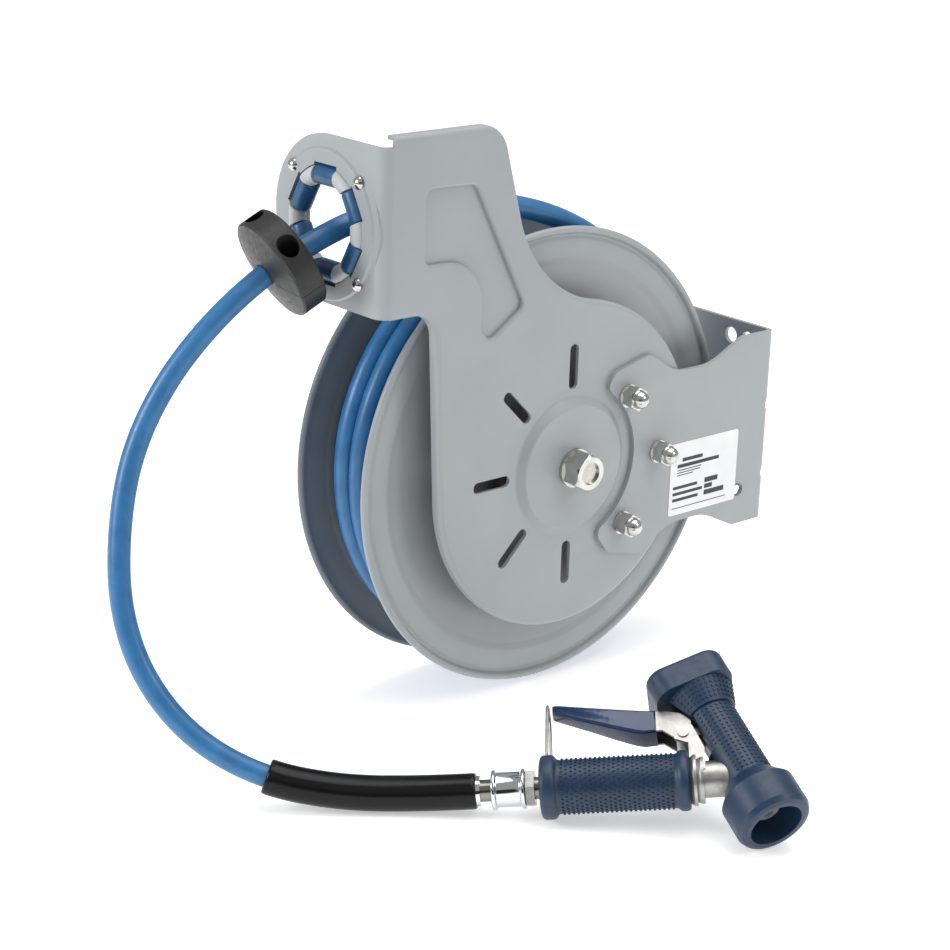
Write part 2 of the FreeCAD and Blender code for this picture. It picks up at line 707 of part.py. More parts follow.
LABEL_BACK = 109
LABEL_TOP = -2.5
label = block(
    (s.label_thick, s.label_length, s.label_height),
    (WING_FACE, LABEL_BACK, LABEL_TOP - s.label_height),
)
reel_part("data_label", group(label))

# ---------------------------------------------------------------------------------------------
# Spindle: fixed in the arm, hollow from its inlet end to the drum's water manifold
# ---------------------------------------------------------------------------------------------
BOSS_BACK = s.arm_face + s.boss_height - s.arm_sheet
HUB_FACE = s.hub_end + s.side_gap
RING_GROOVE = s.hub_end + 2.3
MANIFOLD_PORT = -14
spindle_body = turned([
    (-s.inlet_end, 0), (-s.inlet_end, s.inlet_radius), (-s.inlet_end + 12, s.inlet_radius),
    (-s.inlet_end + 12, s.spindle_radius), (HUB_FACE, s.spindle_radius),
    (HUB_FACE, s.shoulder_radius), (BOSS_BACK, s.shoulder_radius),
    (BOSS_BACK, s.stud_radius), (s.stud_end, s.stud_radius), (s.stud_end, 0),
])
water_way = cylinder(s.water_radius, s.inlet_end - 5, (-s.inlet_end - 1, 0, 0))
cross_way = cylinder(3, s.spindle_radius * 2 + 2, (MANIFOLD_PORT, 0, -s.spindle_radius - 1), "Z")
cross_way_2 = cylinder(3, s.spindle_radius * 2 + 2, (MANIFOLD_PORT, -s.spindle_radius - 1, 0), "Y")
groove_outer = cylinder(s.spindle_radius + 1, 2, (-RING_GROOVE - 2, 0, 0))
groove_inner = cylinder(s.spindle_radius - s.ring_groove, 2, (-RING_GROOVE - 2, 0, 0))
reel_part("spindle", cut(spindle_body, water_way, cross_way, cross_way_2,
                         cut(groove_outer, groove_inner)))

nut_start = s.arm_face + s.boss_height + s.spindle_washer_thick
washer = cut(
    cylinder(15.5, s.spindle_washer_thick, (s.arm_face + s.boss_height, 0, 0)),
    cylinder(s.stud_radius + 0.1, 10, (s.arm_face + s.boss_height - 1, 0, 0)),
)
thrust = cut(
    cylinder(21, 1.7, (-RING_GROOVE + 0.2, 0, 0)),
    cylinder(s.spindle_radius + 0.1, 10, (-RING_GROOVE - 2, 0, 0)),
)
reel_part("spindle_washers", group(washer, thrust))
nut = doc.addObject("Part::Common", "chamfered_nut")
nut.Base = hexagon(s.spindle_nut_flats, s.spindle_nut_height, (nut_start, 0, 0))
nut.Tool = cone(
    s.spindle_nut_flats / 2 + 12, s.spindle_nut_flats / 2 - 0.2, s.spindle_nut_height,
    (nut_start, 0, 0),
)
reel_part("spindle_nut", cut(nut, cylinder(s.stud_radius, 30, (nut_start - 1, 0, 0))))
snap = cut(
    cylinder(s.spindle_radius + 5.5, 1.6, (-RING_GROOVE - 1.8, 0, 0)),
    cylinder(s.spindle_radius - s.ring_groove + s.running_fit, 4, (-RING_GROOVE - 3, 0, 0)),
    block((4, 12, 20), (-RING_GROOVE - 3, -6, 0)),
)
reel_part("retaining_ring", snap)

ELBOW_X = s.inlet_end + 4
ELBOW_DROP = 34
elbow = joined(
    cylinder(15, 27, (-ELBOW_X - 12, 0, 0)),
    cylinder(14, ELBOW_DROP, (-ELBOW_X, 0, 0), "-Z"),
    hexagon(s.spindle_nut_flats + 3, 12, (-ELBOW_X, 0, -ELBOW_DROP), "Z"),
)
elbow = cut(
    elbow,
    cylinder(s.inlet_radius, 30, (-s.inlet_end, 0, 0)),
    cylinder(s.water_radius - 1, 20, (-ELBOW_X, 0, 0)),
    cylinder(s.water_radius, 44, (-ELBOW_X, 0, 8), "-Z"),
    cylinder(9.3, 20, (-ELBOW_X, 0, -ELBOW_DROP + 15), "-Z"),
)
reel_part("inlet_elbow", elbow)

# ---------------------------------------------------------------------------------------------
# Fairlead: a moulded carrier behind the front plate, with six rollers on pins
# ---------------------------------------------------------------------------------------------
def carrier():
    back = -s.arm_front.number + s.arm_sheet.number
    up = s.fairlead_height.number
    plate = Part.makeBox(94, 5, 92, Vector(-47, back, up - 46))
    plate = plate.makeFillet(12, [e for e in plate.Edges if e.BoundBox.YLength > 4])
    plate = plate.cut(y_cylinder(s.block_circle.number - 4, back - 1, back + 9, 0, up))
    blocks = Part.makeTorus(
        s.block_circle.number, s.block_radius.number,
        Vector(0, -s.arm_front.number + 1.5, up), Vector(0, 1, 0),
    )
    inside = s.block_circle.number + s.block_radius.number
    rib = y_cylinder(inside, back, back + 8, 0, up)
    rib = rib.cut(y_cylinder(inside - 9, back - 1, back + 9, 0, up))
    body = plate.fuse([blocks, rib])
    cuts = []
    for angle in ROLLER_ANGLES:
        pocket = roller_pocket(0.6, -s.arm_front.number - 10, -s.arm_front.number + 20)
        pocket.Placement = ring_place(angle)
        cuts.append(pocket)
        half = s.roller_pin_length.number / 2
        pin = x_cylinder(s.roller_pin_radius.number, -half, half, -s.roller_depth.number,
                         s.roller_circle.number)
        pin.Placement = ring_place(angle).multiply(pin.Placement)
        cuts.append(pin)
    for x, z in FAIRLEAD_SCREWS:
        cuts.append(y_cylinder(s.screw_radius.number + 0.1, back - 1, back + 9, number(x), z.number))
    return feature(body.cut(Part.makeCompound(cuts)))


reel_part("roller_carrier", carrier())

pins = []
for index, angle in enumerate(ROLLER_ANGLES, start=1):
    ring_centre = (0, 0, s.fairlead_height)
    tube = cylinder(s.roller_radius, s.roller_length,
                    (-s.roller_length / 2, -s.roller_depth, s.roller_circle))
    bore = cylinder(s.roller_pin_radius + s.running_fit, s.roller_length + 2,
                    (-s.roller_length / 2 - 1, -s.roller_depth, s.roller_circle))
    reel_part("roller_%d" % index, group(put(cut(tube, bore), ring_centre, roller_turn(angle))))
    pin = cylinder(s.roller_pin_radius, s.roller_pin_length,
                   (-s.roller_pin_length / 2, -s.roller_depth, s.roller_circle))
    pins.append(put(group(pin), ring_centre, roller_turn(angle)))
reel_part("roller_pins", group(*pins))

screws = []
for x, z in FAIRLEAD_SCREWS:
    face_y = -s.arm_front - s.front_pad_height
    head = doc.addObject("Part::Sphere", "head")
    put(bind(head, Radius=5.6), (x, face_y + 2.4, z))
    trim = block((14, 10, 14), (x - 7, face_y, z - 7))
    head = cut(head, trim)
    plate_back = s.arm_sheet - s.arm_front + 5
    shank = cylinder(s.screw_radius, s.arm_sheet + 12.5, (x, face_y - 0.5, z), "Y")
    screws.append(joined(head, shank))
    nut = hexagon(8, 4, (x, plate_back, z), "Y")
    screws.append(cut(nut, cylinder(s.screw_radius, 8, (x, plate_back - 1, z), "Y")))
reel_part("fairlead_screws", group(*screws))


# ---------------------------------------------------------------------------------------------
# Drum: two flanges on a core, with hubs and bushes on the spindle
# ---------------------------------------------------------------------------------------------
def flange(side):
    """One flange with its rolled rim and hub; side is 1 next to the arm, -1 away from it."""
    inner = s.drum_half_width
    outer = inner + s.flange_sheet
    step = s.flange_step
    flat_end = s.flange_radius - 30
    step_end = s.flange_radius - 25
    bead = s.flange_radius - s.rim_radius
    sheet_profile = [
        (inner, s.bush_radius), (inner, flat_end), (inner + step, step_end), (inner + step, bead),
        (outer + step, bead), (outer + step, step_end), (outer, flat_end), (outer, s.bush_radius),
    ]
    hub_profile = [
        (s.hub_end - s.hub_length, s.bush_radius), (s.hub_end - s.hub_length, s.hub_radius),
        (s.hub_end, s.hub_radius), (s.hub_end, s.bush_radius),
    ]
    plate = turned([(side * x, radius) for x, radius in sheet_profile])
    hub = turned([(side * x, radius) for x, radius in hub_profile])
    bead_ring = ring(bead, s.rim_radius, (side * (outer + step), 0, 0))
    holes = []
    for angle in TIE_ANGLES:
        at = (-60, s.tie_circle * math.cos(angle), s.tie_circle * math.sin(angle))
        holes.append(cylinder(s.tie_radius + 0.2, 120, at))
    return cut(joined(plate, hub, bead_ring), group(*holes))


TIE_ANGLES = [math.radians(45 + 90 * i) for i in range(4)]
reel_part("near_flange", flange(1))
reel_part("far_flange", flange(-1))

core = cut(
    cylinder(s.core_radius, s.drum_half_width * 2, (-s.drum_half_width, 0, 0)),
    cylinder(s.core_radius - s.core_wall, s.drum_half_width * 2 + 2, (-s.drum_half_width - 1, 0, 0)),
    cylinder(9, s.core_radius, (MANIFOLD_PORT, 0, 20), "Z"),
)
reel_part("drum_core", core)

CASE_START = s.drum_half_width - s.case_depth
case = turned([
    (CASE_START, s.spindle_radius + 2), (CASE_START, s.case_radius),
    (s.drum_half_width, s.case_radius), (s.drum_half_width, s.case_radius - s.case_wall),
    (CASE_START + s.case_wall, s.case_radius - s.case_wall),
    (CASE_START + s.case_wall, s.spindle_radius + 2),
])
reel_part("spring_case", case)


def power_spring():
    """A flat strip coiled in half circles about two centres."""
    grow = s.spring_half_pitch.number
    turns = int(s.spring_half_turns.number)
    wide = 23
    start_x = CASE_START.number + s.case_wall.number + 0.5
    sides = []
    for offset in (0, s.spring_strip.number):
        edges = []
        here = s.spring_inner.number + offset
        for i in range(turns):
            sign = 1 if i % 2 == 0 else -1
            radius = s.spring_inner.number + offset + i * grow
            centre = 0 if sign == 1 else grow
            edges.append(Part.Arc(
                Vector(centre + sign * radius, 0, 0),
                Vector(centre, sign * radius, 0),
                Vector(centre - sign * radius, 0, 0),
            ).toShape())
        sides.append(edges)
    inner_end = Part.LineSegment(sides[0][0].Vertexes[0].Point, sides[1][0].Vertexes[0].Point)
    last = Vector(s.spring_inner.number + turns * grow, 0, 0)
    outer_end = Part.LineSegment(last, last + Vector(s.spring_strip.number, 0, 0))
    edges = sides[0] + sides[1] + [inner_end.toShape(), outer_end.toShape()]
    strip = side_slab(edges, start_x, start_x + wide)
    case_inner = s.case_radius.number - s.case_wall.number
    hook = Part.makeBox(wide, case_inner - last.x - 0.3, 1.5, Vector(start_x, last.x, -1.5))
    return feature(strip.fuse(hook))


reel_part("power_spring", power_spring())
arbor = turned([
    (CASE_START + s.case_wall + 0.5, s.spindle_radius),
    (CASE_START + s.case_wall + 0.5, s.spring_inner - 0.4),
    (s.hub_end - s.hub_length - 0.5, s.spring_inner - 0.4),
    (s.hub_end - s.hub_length - 0.5, s.spindle_radius),
])
reel_part("spring_arbor", group(arbor))

bushes = []
for start in (-s.hub_end, s.hub_end - s.hub_length):
    bushes.append(cut(
        cylinder(s.bush_radius, s.hub_length, (start, 0, 0)),
        cylinder(s.spindle_radius + s.running_fit, s.hub_length + 2, (start - 1, 0, 0)),
    ))
reel_part("hub_bushes", group(*bushes))

SEAL_STARTS = (MANIFOLD_PORT - 7.5, MANIFOLD_PORT + 4.5)
SEAL_WIDE = 3
MANIFOLD_RADIUS = 24
seal_outer = s.spindle_radius + 2.5
manifold_cuts = [
    cylinder(s.spindle_radius + s.running_fit, 30, (MANIFOLD_PORT - 15, 0, 0)),
    cylinder(seal_outer, 6, (MANIFOLD_PORT - 3, 0, 0)),
    cylinder(s.water_radius, MANIFOLD_RADIUS, (MANIFOLD_PORT, 0, s.spindle_radius), "Z"),
]
seals = []
for start in SEAL_STARTS:
    manifold_cuts.append(cylinder(seal_outer, SEAL_WIDE, (start, 0, 0)))
    seals.append(cut(
        cylinder(seal_outer, SEAL_WIDE, (start, 0, 0)),
        cylinder(s.spindle_radius + s.running_fit, SEAL_WIDE + 2, (start - 1, 0, 0)),
    ))
manifold = cylinder(MANIFOLD_RADIUS, 20, (MANIFOLD_PORT - 10, 0, 0))
reel_part("water_manifold", cut(manifold, *manifold_cuts))
reel_part("manifold_seals", group(*seals))

riser_start = s.spindle_radius + 6
FERRULE_START = 108
riser = cut(
    cylinder(s.water_radius, FERRULE_START + 4 - riser_start, (MANIFOLD_PORT, 0, riser_start), "Z"),
    cylinder(s.water_radius - 2, 120, (MANIFOLD_PORT, 0, 0), "Z"),
)
reel_part("outlet_riser", riser)
riser_ferrule = cut(
    cylinder(9, s.core_radius - FERRULE_START - 0.5, (MANIFOLD_PORT, 0, FERRULE_START), "Z"),
    cylinder(s.water_radius, 30, (MANIFOLD_PORT, 0, FERRULE_START - 26), "Z"),
    cylinder(s.water_radius - 2, 30, (MANIFOLD_PORT, 0, FERRULE_START), "Z"),
)
reel_part("riser_ferrule", riser_ferrule)

tie_bolts = []
tie_nuts = []
flange_out = s.drum_half_width + s.flange_sheet
for angle in TIE_ANGLES:
    y = s.tie_circle * math.cos(angle)
    z = s.tie_circle * math.sin(angle)
    head = hexagon(s.tie_radius * 3.3, 4, (-flange_out - 4, y, z))
    shank = cylinder(s.tie_radius, flange_out * 2 + 5.5, (-flange_out - 0.5, y, z))
    tie_bolts.append(joined(head, shank))
    nut = hexagon(s.tie_radius * 3.3, 4.5, (flange_out, y, z))
    tie_nuts.append(cut(nut, cylinder(s.tie_radius, 12, (flange_out - 3, y, z))))
reel_part("tie_bolts", group(*tie_bolts))
reel_part("tie_nuts", group(*tie_nuts))

# Ratchet on the near hub, and its pawl on a pin in the arm
teeth = int(s.ratchet_teeth.number)
# the teeth stand so that the pawl falls just behind one
TOOTH_PHASE = math.radians(172)
tooth_points = []
for i in range(teeth):
    angle = 2 * math.pi * i / teeth + TOOTH_PHASE
    for radius in (s.ratchet_tip, s.ratchet_root):
        tooth_points.append((radius * math.cos(angle), radius * math.sin(angle)))
wheel = pressed(tooth_points, s.ratchet_thick, flange_out)
reel_part("ratchet_wheel", cut(wheel, cylinder(s.hub_radius, 20, (flange_out - 5, 0, 0))))

PAWL_ANGLE = math.radians(200)
PAWL_REACH = 16
PAWL_THICK = 3
pawl_y = (s.ratchet_tip + PAWL_REACH) * math.cos(PAWL_ANGLE)
pawl_z = (s.ratchet_tip + PAWL_REACH) * math.sin(PAWL_ANGLE)
pawl_x = flange_out + 0.5
nose = (-s.ratchet_tip - 0.7, 3.3)
pawl_plate = pressed(
    [nose, (pawl_y + 3, 7), (pawl_y - 7.5, pawl_z + 2), (pawl_y + 7, pawl_z + 1)],
    PAWL_THICK, pawl_x,
)
pawl_boss = cylinder(8, PAWL_THICK, (pawl_x, pawl_y, pawl_z))
pawl_bore = cylinder(4 + s.running_fit, PAWL_THICK + 2, (pawl_x - 1, pawl_y, pawl_z))
reel_part("pawl", cut(joined(pawl_plate, pawl_boss), pawl_bore))
arm_inside = s.arm_face - s.arm_sheet
pin_stem = cylinder(4, arm_inside - pawl_x, (pawl_x, pawl_y, pawl_z))
pin_flange = cylinder(6.5, 2, (arm_inside - 2, pawl_y, pawl_z))
reel_part("pawl_pin", joined(pin_stem, pin_flange))


def pawl_spring():
    start = pawl_x.number + PAWL_THICK + 0.8
    length = arm_inside.number - 2.8 - start
    helix = Part.makeLongHelix(length / 6, length, 5.2)
    rod = Part.Wire(Part.Circle(Vector(5.2, 0, 0), Vector(0, 1, 0), 0.6).toShape())
    coil = helix.makePipeShell([rod], True, True)
    coil.Placement = Placement(Vector(start, pawl_y.number, pawl_z.number), TURNS["X"])
    return feature(coil)


reel_part("pawl_spring", group(pawl_spring()))

# Wound hose, as the outside of its turns; the lane by the near flange is open for the last turn
HOSE_GAP = 0.3
coil_inner = s.core_radius + HOSE_GAP
coil_outer = s.core_radius + s.hose_radius * 2 + s.layer_pitch * 2 + 0.4
coil = turned([
    (-s.drum_half_width + HOSE_GAP, coil_inner), (-s.drum_half_width + HOSE_GAP, coil_outer),
    (s.lane_start, coil_outer), (s.lane_start, s.lane_floor),
    (s.drum_half_width - HOSE_GAP, s.lane_floor), (s.drum_half_width - HOSE_GAP, coil_inner),
])
reel_part("hose_wound", group(coil))

# ---------------------------------------------------------------------------------------------
# Leaving hose: off the top of the drum, through the rollers, down in an arc and along the floor
# ---------------------------------------------------------------------------------------------
GUN_AXIS = GUN_TURN.multVec(Vector(1, 0, 0))
GRIP_END = Vector(s.gun_side.number, -s.gun_forward.number, -s.gun_down.number)
hose_end = GRIP_END - GUN_AXIS * s.sleeve_end.number
STOP_BEHIND = (1, -206, 191)
STOP_AHEAD = (-6, -249, 167)
HOSE_ROUTE = [
    (26.4, 157.8, -8), (26.4, 157.8, 27.8), (26.4, 138.8, 80.1), (26.4, 108, 124),
    (26, 70, 158), (19, 22, 187), (13, -35, 204), (8, -97, 209.5), (4, -160, 206),
    STOP_BEHIND, STOP_AHEAD, (-17, -285, 134), (-26, -316, 94), (-28, -341, 48),
    (-19, -358, -2), (-2, -369, -53), (22, -366, -100), (54, -347, -140), (91, -314, -166),
    (127, -270, -177.5), tuple(hose_end - GUN_AXIS * 40), tuple(hose_end),
]
SLEEVE_FROM = 18


def route_edges(points):
    """Straight runs joined by tangent arcs; one arc for each inner corner."""
    corners = [Vector(*p) for p in points]
    edges = []
    start = corners[0]
    for before, here, after in zip(corners, corners[1:], corners[2:]):
        back = (before - here).normalize()
        ahead = (after - here).normalize()
        reach = 0.45 * min(here.distanceToPoint(before), here.distanceToPoint(after))
        half = (math.pi - back.getAngle(ahead)) / 2
        radius = reach / math.tan(half)
        print("bend radius %.0f" % radius)
        bisector = (back + ahead).normalize()
        middle = here + bisector * (radius / math.cos(half) - radius)
        edges.append(Part.LineSegment(start, here + back * reach).toShape())
        edges.append(Part.Arc(here + back * reach, middle, here + ahead * reach).toShape())
        start = here + ahead * reach
    edges.append(Part.LineSegment(start, corners[-1]).toShape())
    return edges


def swept(edges, radius):
    path = Part.Wire(edges)
    start = edges[0].valueAt(edges[0].FirstParameter)
    along = edges[0].tangentAt(edges[0].FirstParameter)
    rod = Part.Wire(Part.Circle(start, along, radius).toShape())
    return path.makePipeShell([rod], True, False)


hose_edges = route_edges(HOSE_ROUTE)
hose = swept(hose_edges, s.hose_radius.number)
hose_length = sum(edge.Length for edge in hose_edges)
section = math.pi * s.hose_radius.number ** 2
print("hose lead %.0f long, volume %.4f of section by length"
      % (hose_length, hose.Volume / (section * hose_length)))
reel_part("hose_lead", feature(hose))

sleeve_edges = hose_edges[2 * SLEEVE_FROM - 1:]
bend = sleeve_edges[0]
bend_middle = (bend.FirstParameter + bend.LastParameter) / 2
sleeve = swept(sleeve_edges, s.sleeve_radius.number)
sleeve = sleeve.cut(swept(sleeve_edges, s.hose_radius.number))
sleeve = sleeve.cut(Part.makeCylinder(
    s.sleeve_radius.number + 15, 60, bend.valueAt(bend_middle), -bend.tangentAt(bend_middle)
))
ferrule_pocket = Part.makeCylinder(
    s.ferrule_radius.number, 15, hose_end - GUN_AXIS * 14, GUN_AXIS
)
reel_part("hose_sleeve", feature(sleeve.cut(ferrule_pocket)))

# ---------------------------------------------------------------------------------------------
# Hose stop: two moulded halves screwed together round the hose
# ---------------------------------------------------------------------------------------------
stop_axis = Vector(*STOP_AHEAD) - Vector(*STOP_BEHIND)
stop_centre = (Vector(*STOP_AHEAD) + Vector(*STOP_BEHIND)) / 2
stop_x = Vector(stop_axis).normalize()
stop_y = Vector(0, 0, 1).cross(stop_x).normalize()
stop_turn = Rotation(stop_x, stop_y, stop_x.cross(stop_y), "XYZ")
stop_turn = stop_turn * Rotation(Vector(1, 0, 0), s.bumper_turn.number)
rim_half = s.bumper_rim / 2
stop_profile = [
    (-s.bumper_thick / 2, s.hose_radius), (-s.bumper_thick / 2, s.hose_radius + 6),
    (-rim_half - 1.5, s.bumper_radius - 1.5), (-rim_half, s.bumper_radius),
    (rim_half, s.bumper_radius), (rim_half + 1.5, s.bumper_radius - 1.5),
    (s.bumper_thick / 2, s.hose_radius + 6), (s.bumper_thick / 2, s.hose_radius),
]
WELL_FLOOR = 10
SPLIT = 0.2


def stop_half(up):
    lens = turned(stop_profile)
    half_space = block((80, 100, 50), (-40, -50, SPLIT if up else -50 - SPLIT))
    half = doc.addObject("Part::Common", "half")
    half.Base = lens
    half.Tool = half_space
    wells = []
    for side in (-1, 1):
        y = side * s.bumper_bore_side
        wells.append(cylinder(s.screw_radius, 60, (0, y, -22), "Z"))
        if up:
            wells.append(cylinder(s.bumper_bore_radius, 60, (0, y, WELL_FLOOR), "Z"))
    return group(put(cut(half, *wells), tuple(stop_centre), stop_turn))


reel_part("bumper_upper", stop_half(True))
reel_part("bumper_lower", stop_half(False))
stop_screws = []
for side in (-1, 1):
    y = side * s.bumper_bore_side
    head = cylinder(4.6, 3.5, (0, y, WELL_FLOOR), "Z")
    shank = cylinder(s.screw_radius, WELL_FLOOR + 22, (0, y, -22), "Z")
    socket = hexagon(4, 4, (0, y, WELL_FLOOR + 1.5), "Z")
    stop_screws.append(put(cut(joined(head, shank), socket), tuple(stop_centre), stop_turn))
reel_part("bumper_screws", group(*stop_screws))

# ---------------------------------------------------------------------------------------------
# Hose end fittings, on the grip axis
# ---------------------------------------------------------------------------------------------
FERRULE_BACK = -60
ferrule = cut(
    cylinder(s.ferrule_radius, -s.sleeve_end + 3 - FERRULE_BACK, (FERRULE_BACK, 0, 0)),
    cylinder(s.hose_radius, -s.sleeve_end - FERRULE_BACK + 1, (FERRULE_BACK - 1, 0, 0)),
    cylinder(5.8, 30, (-s.sleeve_end - 10, 0, 0)),
)
gun_part("hose_ferrule", ferrule)
SWIVEL_BACK = -35
SWIVEL_FRONT = -10.5
nipple = turned([
    (-s.sleeve_end, 4), (-s.sleeve_end, 5.8), (-s.sleeve_end + 3, 5.8), (-s.sleeve_end + 3, 7.9),
    (SWIVEL_BACK + 8, 7.9), (SWIVEL_BACK + 8, 4),
])
gun_part("hose_nipple", group(nipple))
bead = s.swivel_bead_radius
swivel = turned([
    (SWIVEL_BACK, 7.9), (SWIVEL_BACK, bead - 0.8), (SWIVEL_BACK + 0.8, bead),
    (SWIVEL_BACK + 2.6, bead), (SWIVEL_BACK + 3.4, s.swivel_radius),
    (SWIVEL_FRONT - 3.4, s.swivel_radius), (SWIVEL_FRONT - 2.6, bead),
    (SWIVEL_FRONT - 0.8, bead), (SWIVEL_FRONT, bead - 0.8),
    (SWIVEL_FRONT, s.spigot_radius + s.running_fit),
    (SWIVEL_BACK + 8, s.spigot_radius + s.running_fit), (SWIVEL_BACK + 8, 7.9),
])
gun_part("swivel_body", group(swivel))
SEAL_BACK = SWIVEL_BACK + 12
spigot = turned([
    (SWIVEL_BACK + 8.5, 4), (SWIVEL_BACK + 8.5, s.spigot_radius), (SEAL_BACK, s.spigot_radius),
    (SEAL_BACK, s.spigot_radius - 1.6), (SEAL_BACK + 2.4, s.spigot_radius - 1.6),
    (SEAL_BACK + 2.4, s.spigot_radius), (-4, s.spigot_radius), (-4, 8), (12, 8), (12, 4),
])
hex_ring = cut(
    hexagon(24, 6.2, (SWIVEL_FRONT + 0.3, 0, 0)),
    cylinder(5, 20, (SWIVEL_FRONT - 5, 0, 0)),
)
gun_part("swivel_nut", joined(spigot, hex_ring))
swivel_seal = cut(
    cylinder(s.spigot_radius, 2.4, (SEAL_BACK, 0, 0)),
    cylinder(s.spigot_radius - 1.6, 6, (SEAL_BACK - 1, 0, 0)),
)
gun_part("swivel_seal", swivel_seal)

# ---------------------------------------------------------------------------------------------
# Spray gun
# ---------------------------------------------------------------------------------------------
BARREL_TURN = Rotation(Vector(0, 1, 0), s.barrel_angle.number)


def on_barrel(obj):
    """Moves what is drawn about X to the barrel axis, X towards the nozzle."""
    return put(obj, (s.barrel_forward, 0, 0), BARREL_TURN)


grip_end = s.grip_length
core_tube = turned([
    (2, 0), (2, 11), (grip_end - 2, 11), (grip_end, 16.5), (grip_end + 3, 18.5),
    (grip_end + 5, 18.5), (grip_end + 5, 16), (grip_end + 8, 17), (grip_end + 10, 17),
    (grip_end + 10, 13), (s.barrel_forward, 13), (s.barrel_forward, 0),
])
barrel_tube = on_barrel(group(cylinder(s.barrel_radius, s.barrel_nose - s.barrel_rear,
                                       (s.barrel_rear, 0, 0))))
EAR_POINTS = [
    (106.5, 0), (117.5, 0), (117.5, 18), (109.5, 38), (98, 39.5), (96.5, 27), (106.5, 23),
]
EAR_INNER = 10.7
EAR_THICK = 3


def upright_plate(points, thick, at_y):
    """A plate in the gun's middle plane, from at_y towards +Y."""
    wire = Part.makePolygon([Vector(x, at_y, z) for x, z in points + points[:1]])
    return Part.Face(wire).extrude(Vector(0, thick, 0))


ears = [feature(upright_plate(EAR_POINTS, EAR_THICK, at_y)) for at_y in (EAR_INNER, -EAR_INNER - EAR_THICK)]
bores = [
    cylinder(8, 10, (2, 0, 0)),
    cylinder(6, s.barrel_forward - 2, (2, 0, 0)),
    on_barrel(group(cylinder(9.5, 44, (-84, 0, 0)))),
    on_barrel(group(cylinder(9.5, 60, (-30, 0, 0)))),
    on_barrel(group(cylinder(s.stem_radius + s.running_fit, 60, (-60, 0, 0)))),
    cylinder(s.pivot_radius, 60, (s.pivot_along, -30, s.pivot_up), "Y"),
    # the lever's finger reaches the stem through a slot
    block((34, 8.4, 34), (s.pivot_along - 6, -4.2, s.pivot_up - 4)),
]
gun_part("gun_body", cut(joined(core_tube, barrel_tube, *ears), *bores))

FLANGE_END = 12
sleeve_profile = [
    (0, 11), (0, s.grip_flange_radius - 2.5), (2.5, s.grip_flange_radius),
    (FLANGE_END - 3, s.grip_flange_radius), (FLANGE_END, s.grip_radius),
    (grip_end - 9, s.grip_radius), (grip_end - 7.5, s.grip_radius + 1.6),
    (grip_end - 2.5, s.grip_radius + 1.6), (grip_end, s.grip_radius - 0.5),
    (grip_end, 16.6), (grip_end - 2, 11),
]
grip = turned(sleeve_profile)
bail_holes = cylinder(s.bail_wire + 0.05, 60, (s.bail_along, -30, s.bail_up), "Y")
gun_part("grip_sleeve", cut(grip, bail_holes))


def boot_block():
    half = s.boot_block.number
    rear = s.boot_rear.number
    length = 22
    box = Part.makeBox(length, 2 * half, 2 * half + 6, Vector(rear, -half, -half - 6))
    box = box.makeFillet(14, [e for e in box.Edges if e.BoundBox.XLength > length - 1])
    back = [e for e in box.Edges if e.BoundBox.XMax < rear + 0.01]
    box = box.makeFillet(5, back)
    taper = Part.makeCone(half - 0.5, 20, 18, Vector(rear + length, 0, 0), Vector(1, 0, 0))
    return feature(box.fuse(taper))


boot_ring = turned([
    (5, 0), (5, 19), (12, s.boot_ring_radius - 4), (17, s.boot_ring_radius),
    (s.boot_nose - 5, s.boot_ring_radius), (s.boot_nose - 1, s.boot_ring_radius - 2),
    (s.boot_nose, s.boot_ring_radius - 5), (s.boot_nose, s.boot_mouth_radius),
    (s.barrel_nose + 4, s.boot_mouth_radius - 2), (s.barrel_nose + 4, 0),
])
boot_wall = cylinder(s.barrel_radius + 4.3, 100, (-85, 0, 0))
boot_cuts = [
    on_barrel(group(cylinder(s.barrel_radius, s.barrel_nose - s.barrel_rear + 10, (s.barrel_rear, 0, 0)))),
    cylinder(13.3, 60, (grip_end + 6, 0, 0)),
    # window for the lever, open towards the grip
    on_barrel(group(block((52, 24.6, 30), (-76, -12.3, -s.barrel_radius - 29.5)))),
]
boot = joined(on_barrel(boot_block()), on_barrel(group(boot_ring)), on_barrel(group(boot_wall)))
gun_part("gun_boot", cut(boot, *boot_cuts))

SEAT = 14
nozzle = turned([
    (SEAT, 3.5), (SEAT, 9.5), (s.barrel_nose, 9.5), (s.barrel_nose, 13),
    (s.barrel_nose + 6, 13), (s.barrel_nose + 12, 9), (s.barrel_nose + 12, 5),
    (s.barrel_nose + 6, 3.5),
])
gun_part("nozzle_tip", group(on_barrel(group(nozzle))))

COLLAR_BACK = -60
COLLAR_FRONT = -55
stem = turned([
    (-76, 0), (-76, s.stem_radius), (COLLAR_BACK, s.stem_radius), (COLLAR_BACK, 8),
    (COLLAR_FRONT, 8), (COLLAR_FRONT, s.stem_radius), (8, s.stem_radius), (8, 2.5),
    (SEAT - 0.5, 2.5), (SEAT - 0.5, 0),
])
gun_part("valve_stem", group(on_barrel(group(stem))))
valve_seal = turned([(8, 2.5), (8, 8.5), (SEAT - 1, 8.5), (SEAT - 0.1, 6), (SEAT - 0.1, 2.5)])
gun_part("valve_seal", group(on_barrel(group(valve_seal))))


def valve_spring():
    length = COLLAR_BACK + 84 - 1.8
    helix = Part.makeLongHelix(length / 7, length, 6.6)
    rod = Part.Wire(Part.Circle(Vector(6.6, 0, 0), Vector(0, 1, 0), 0.7).toShape())
    coil = helix.makePipeShell([rod], True, True)
    coil.Placement = Placement(Vector(-83.1, 0, 0), TURNS["X"])
    return feature(coil)


gun_part("valve_spring", group(on_barrel(group(valve_spring()))))

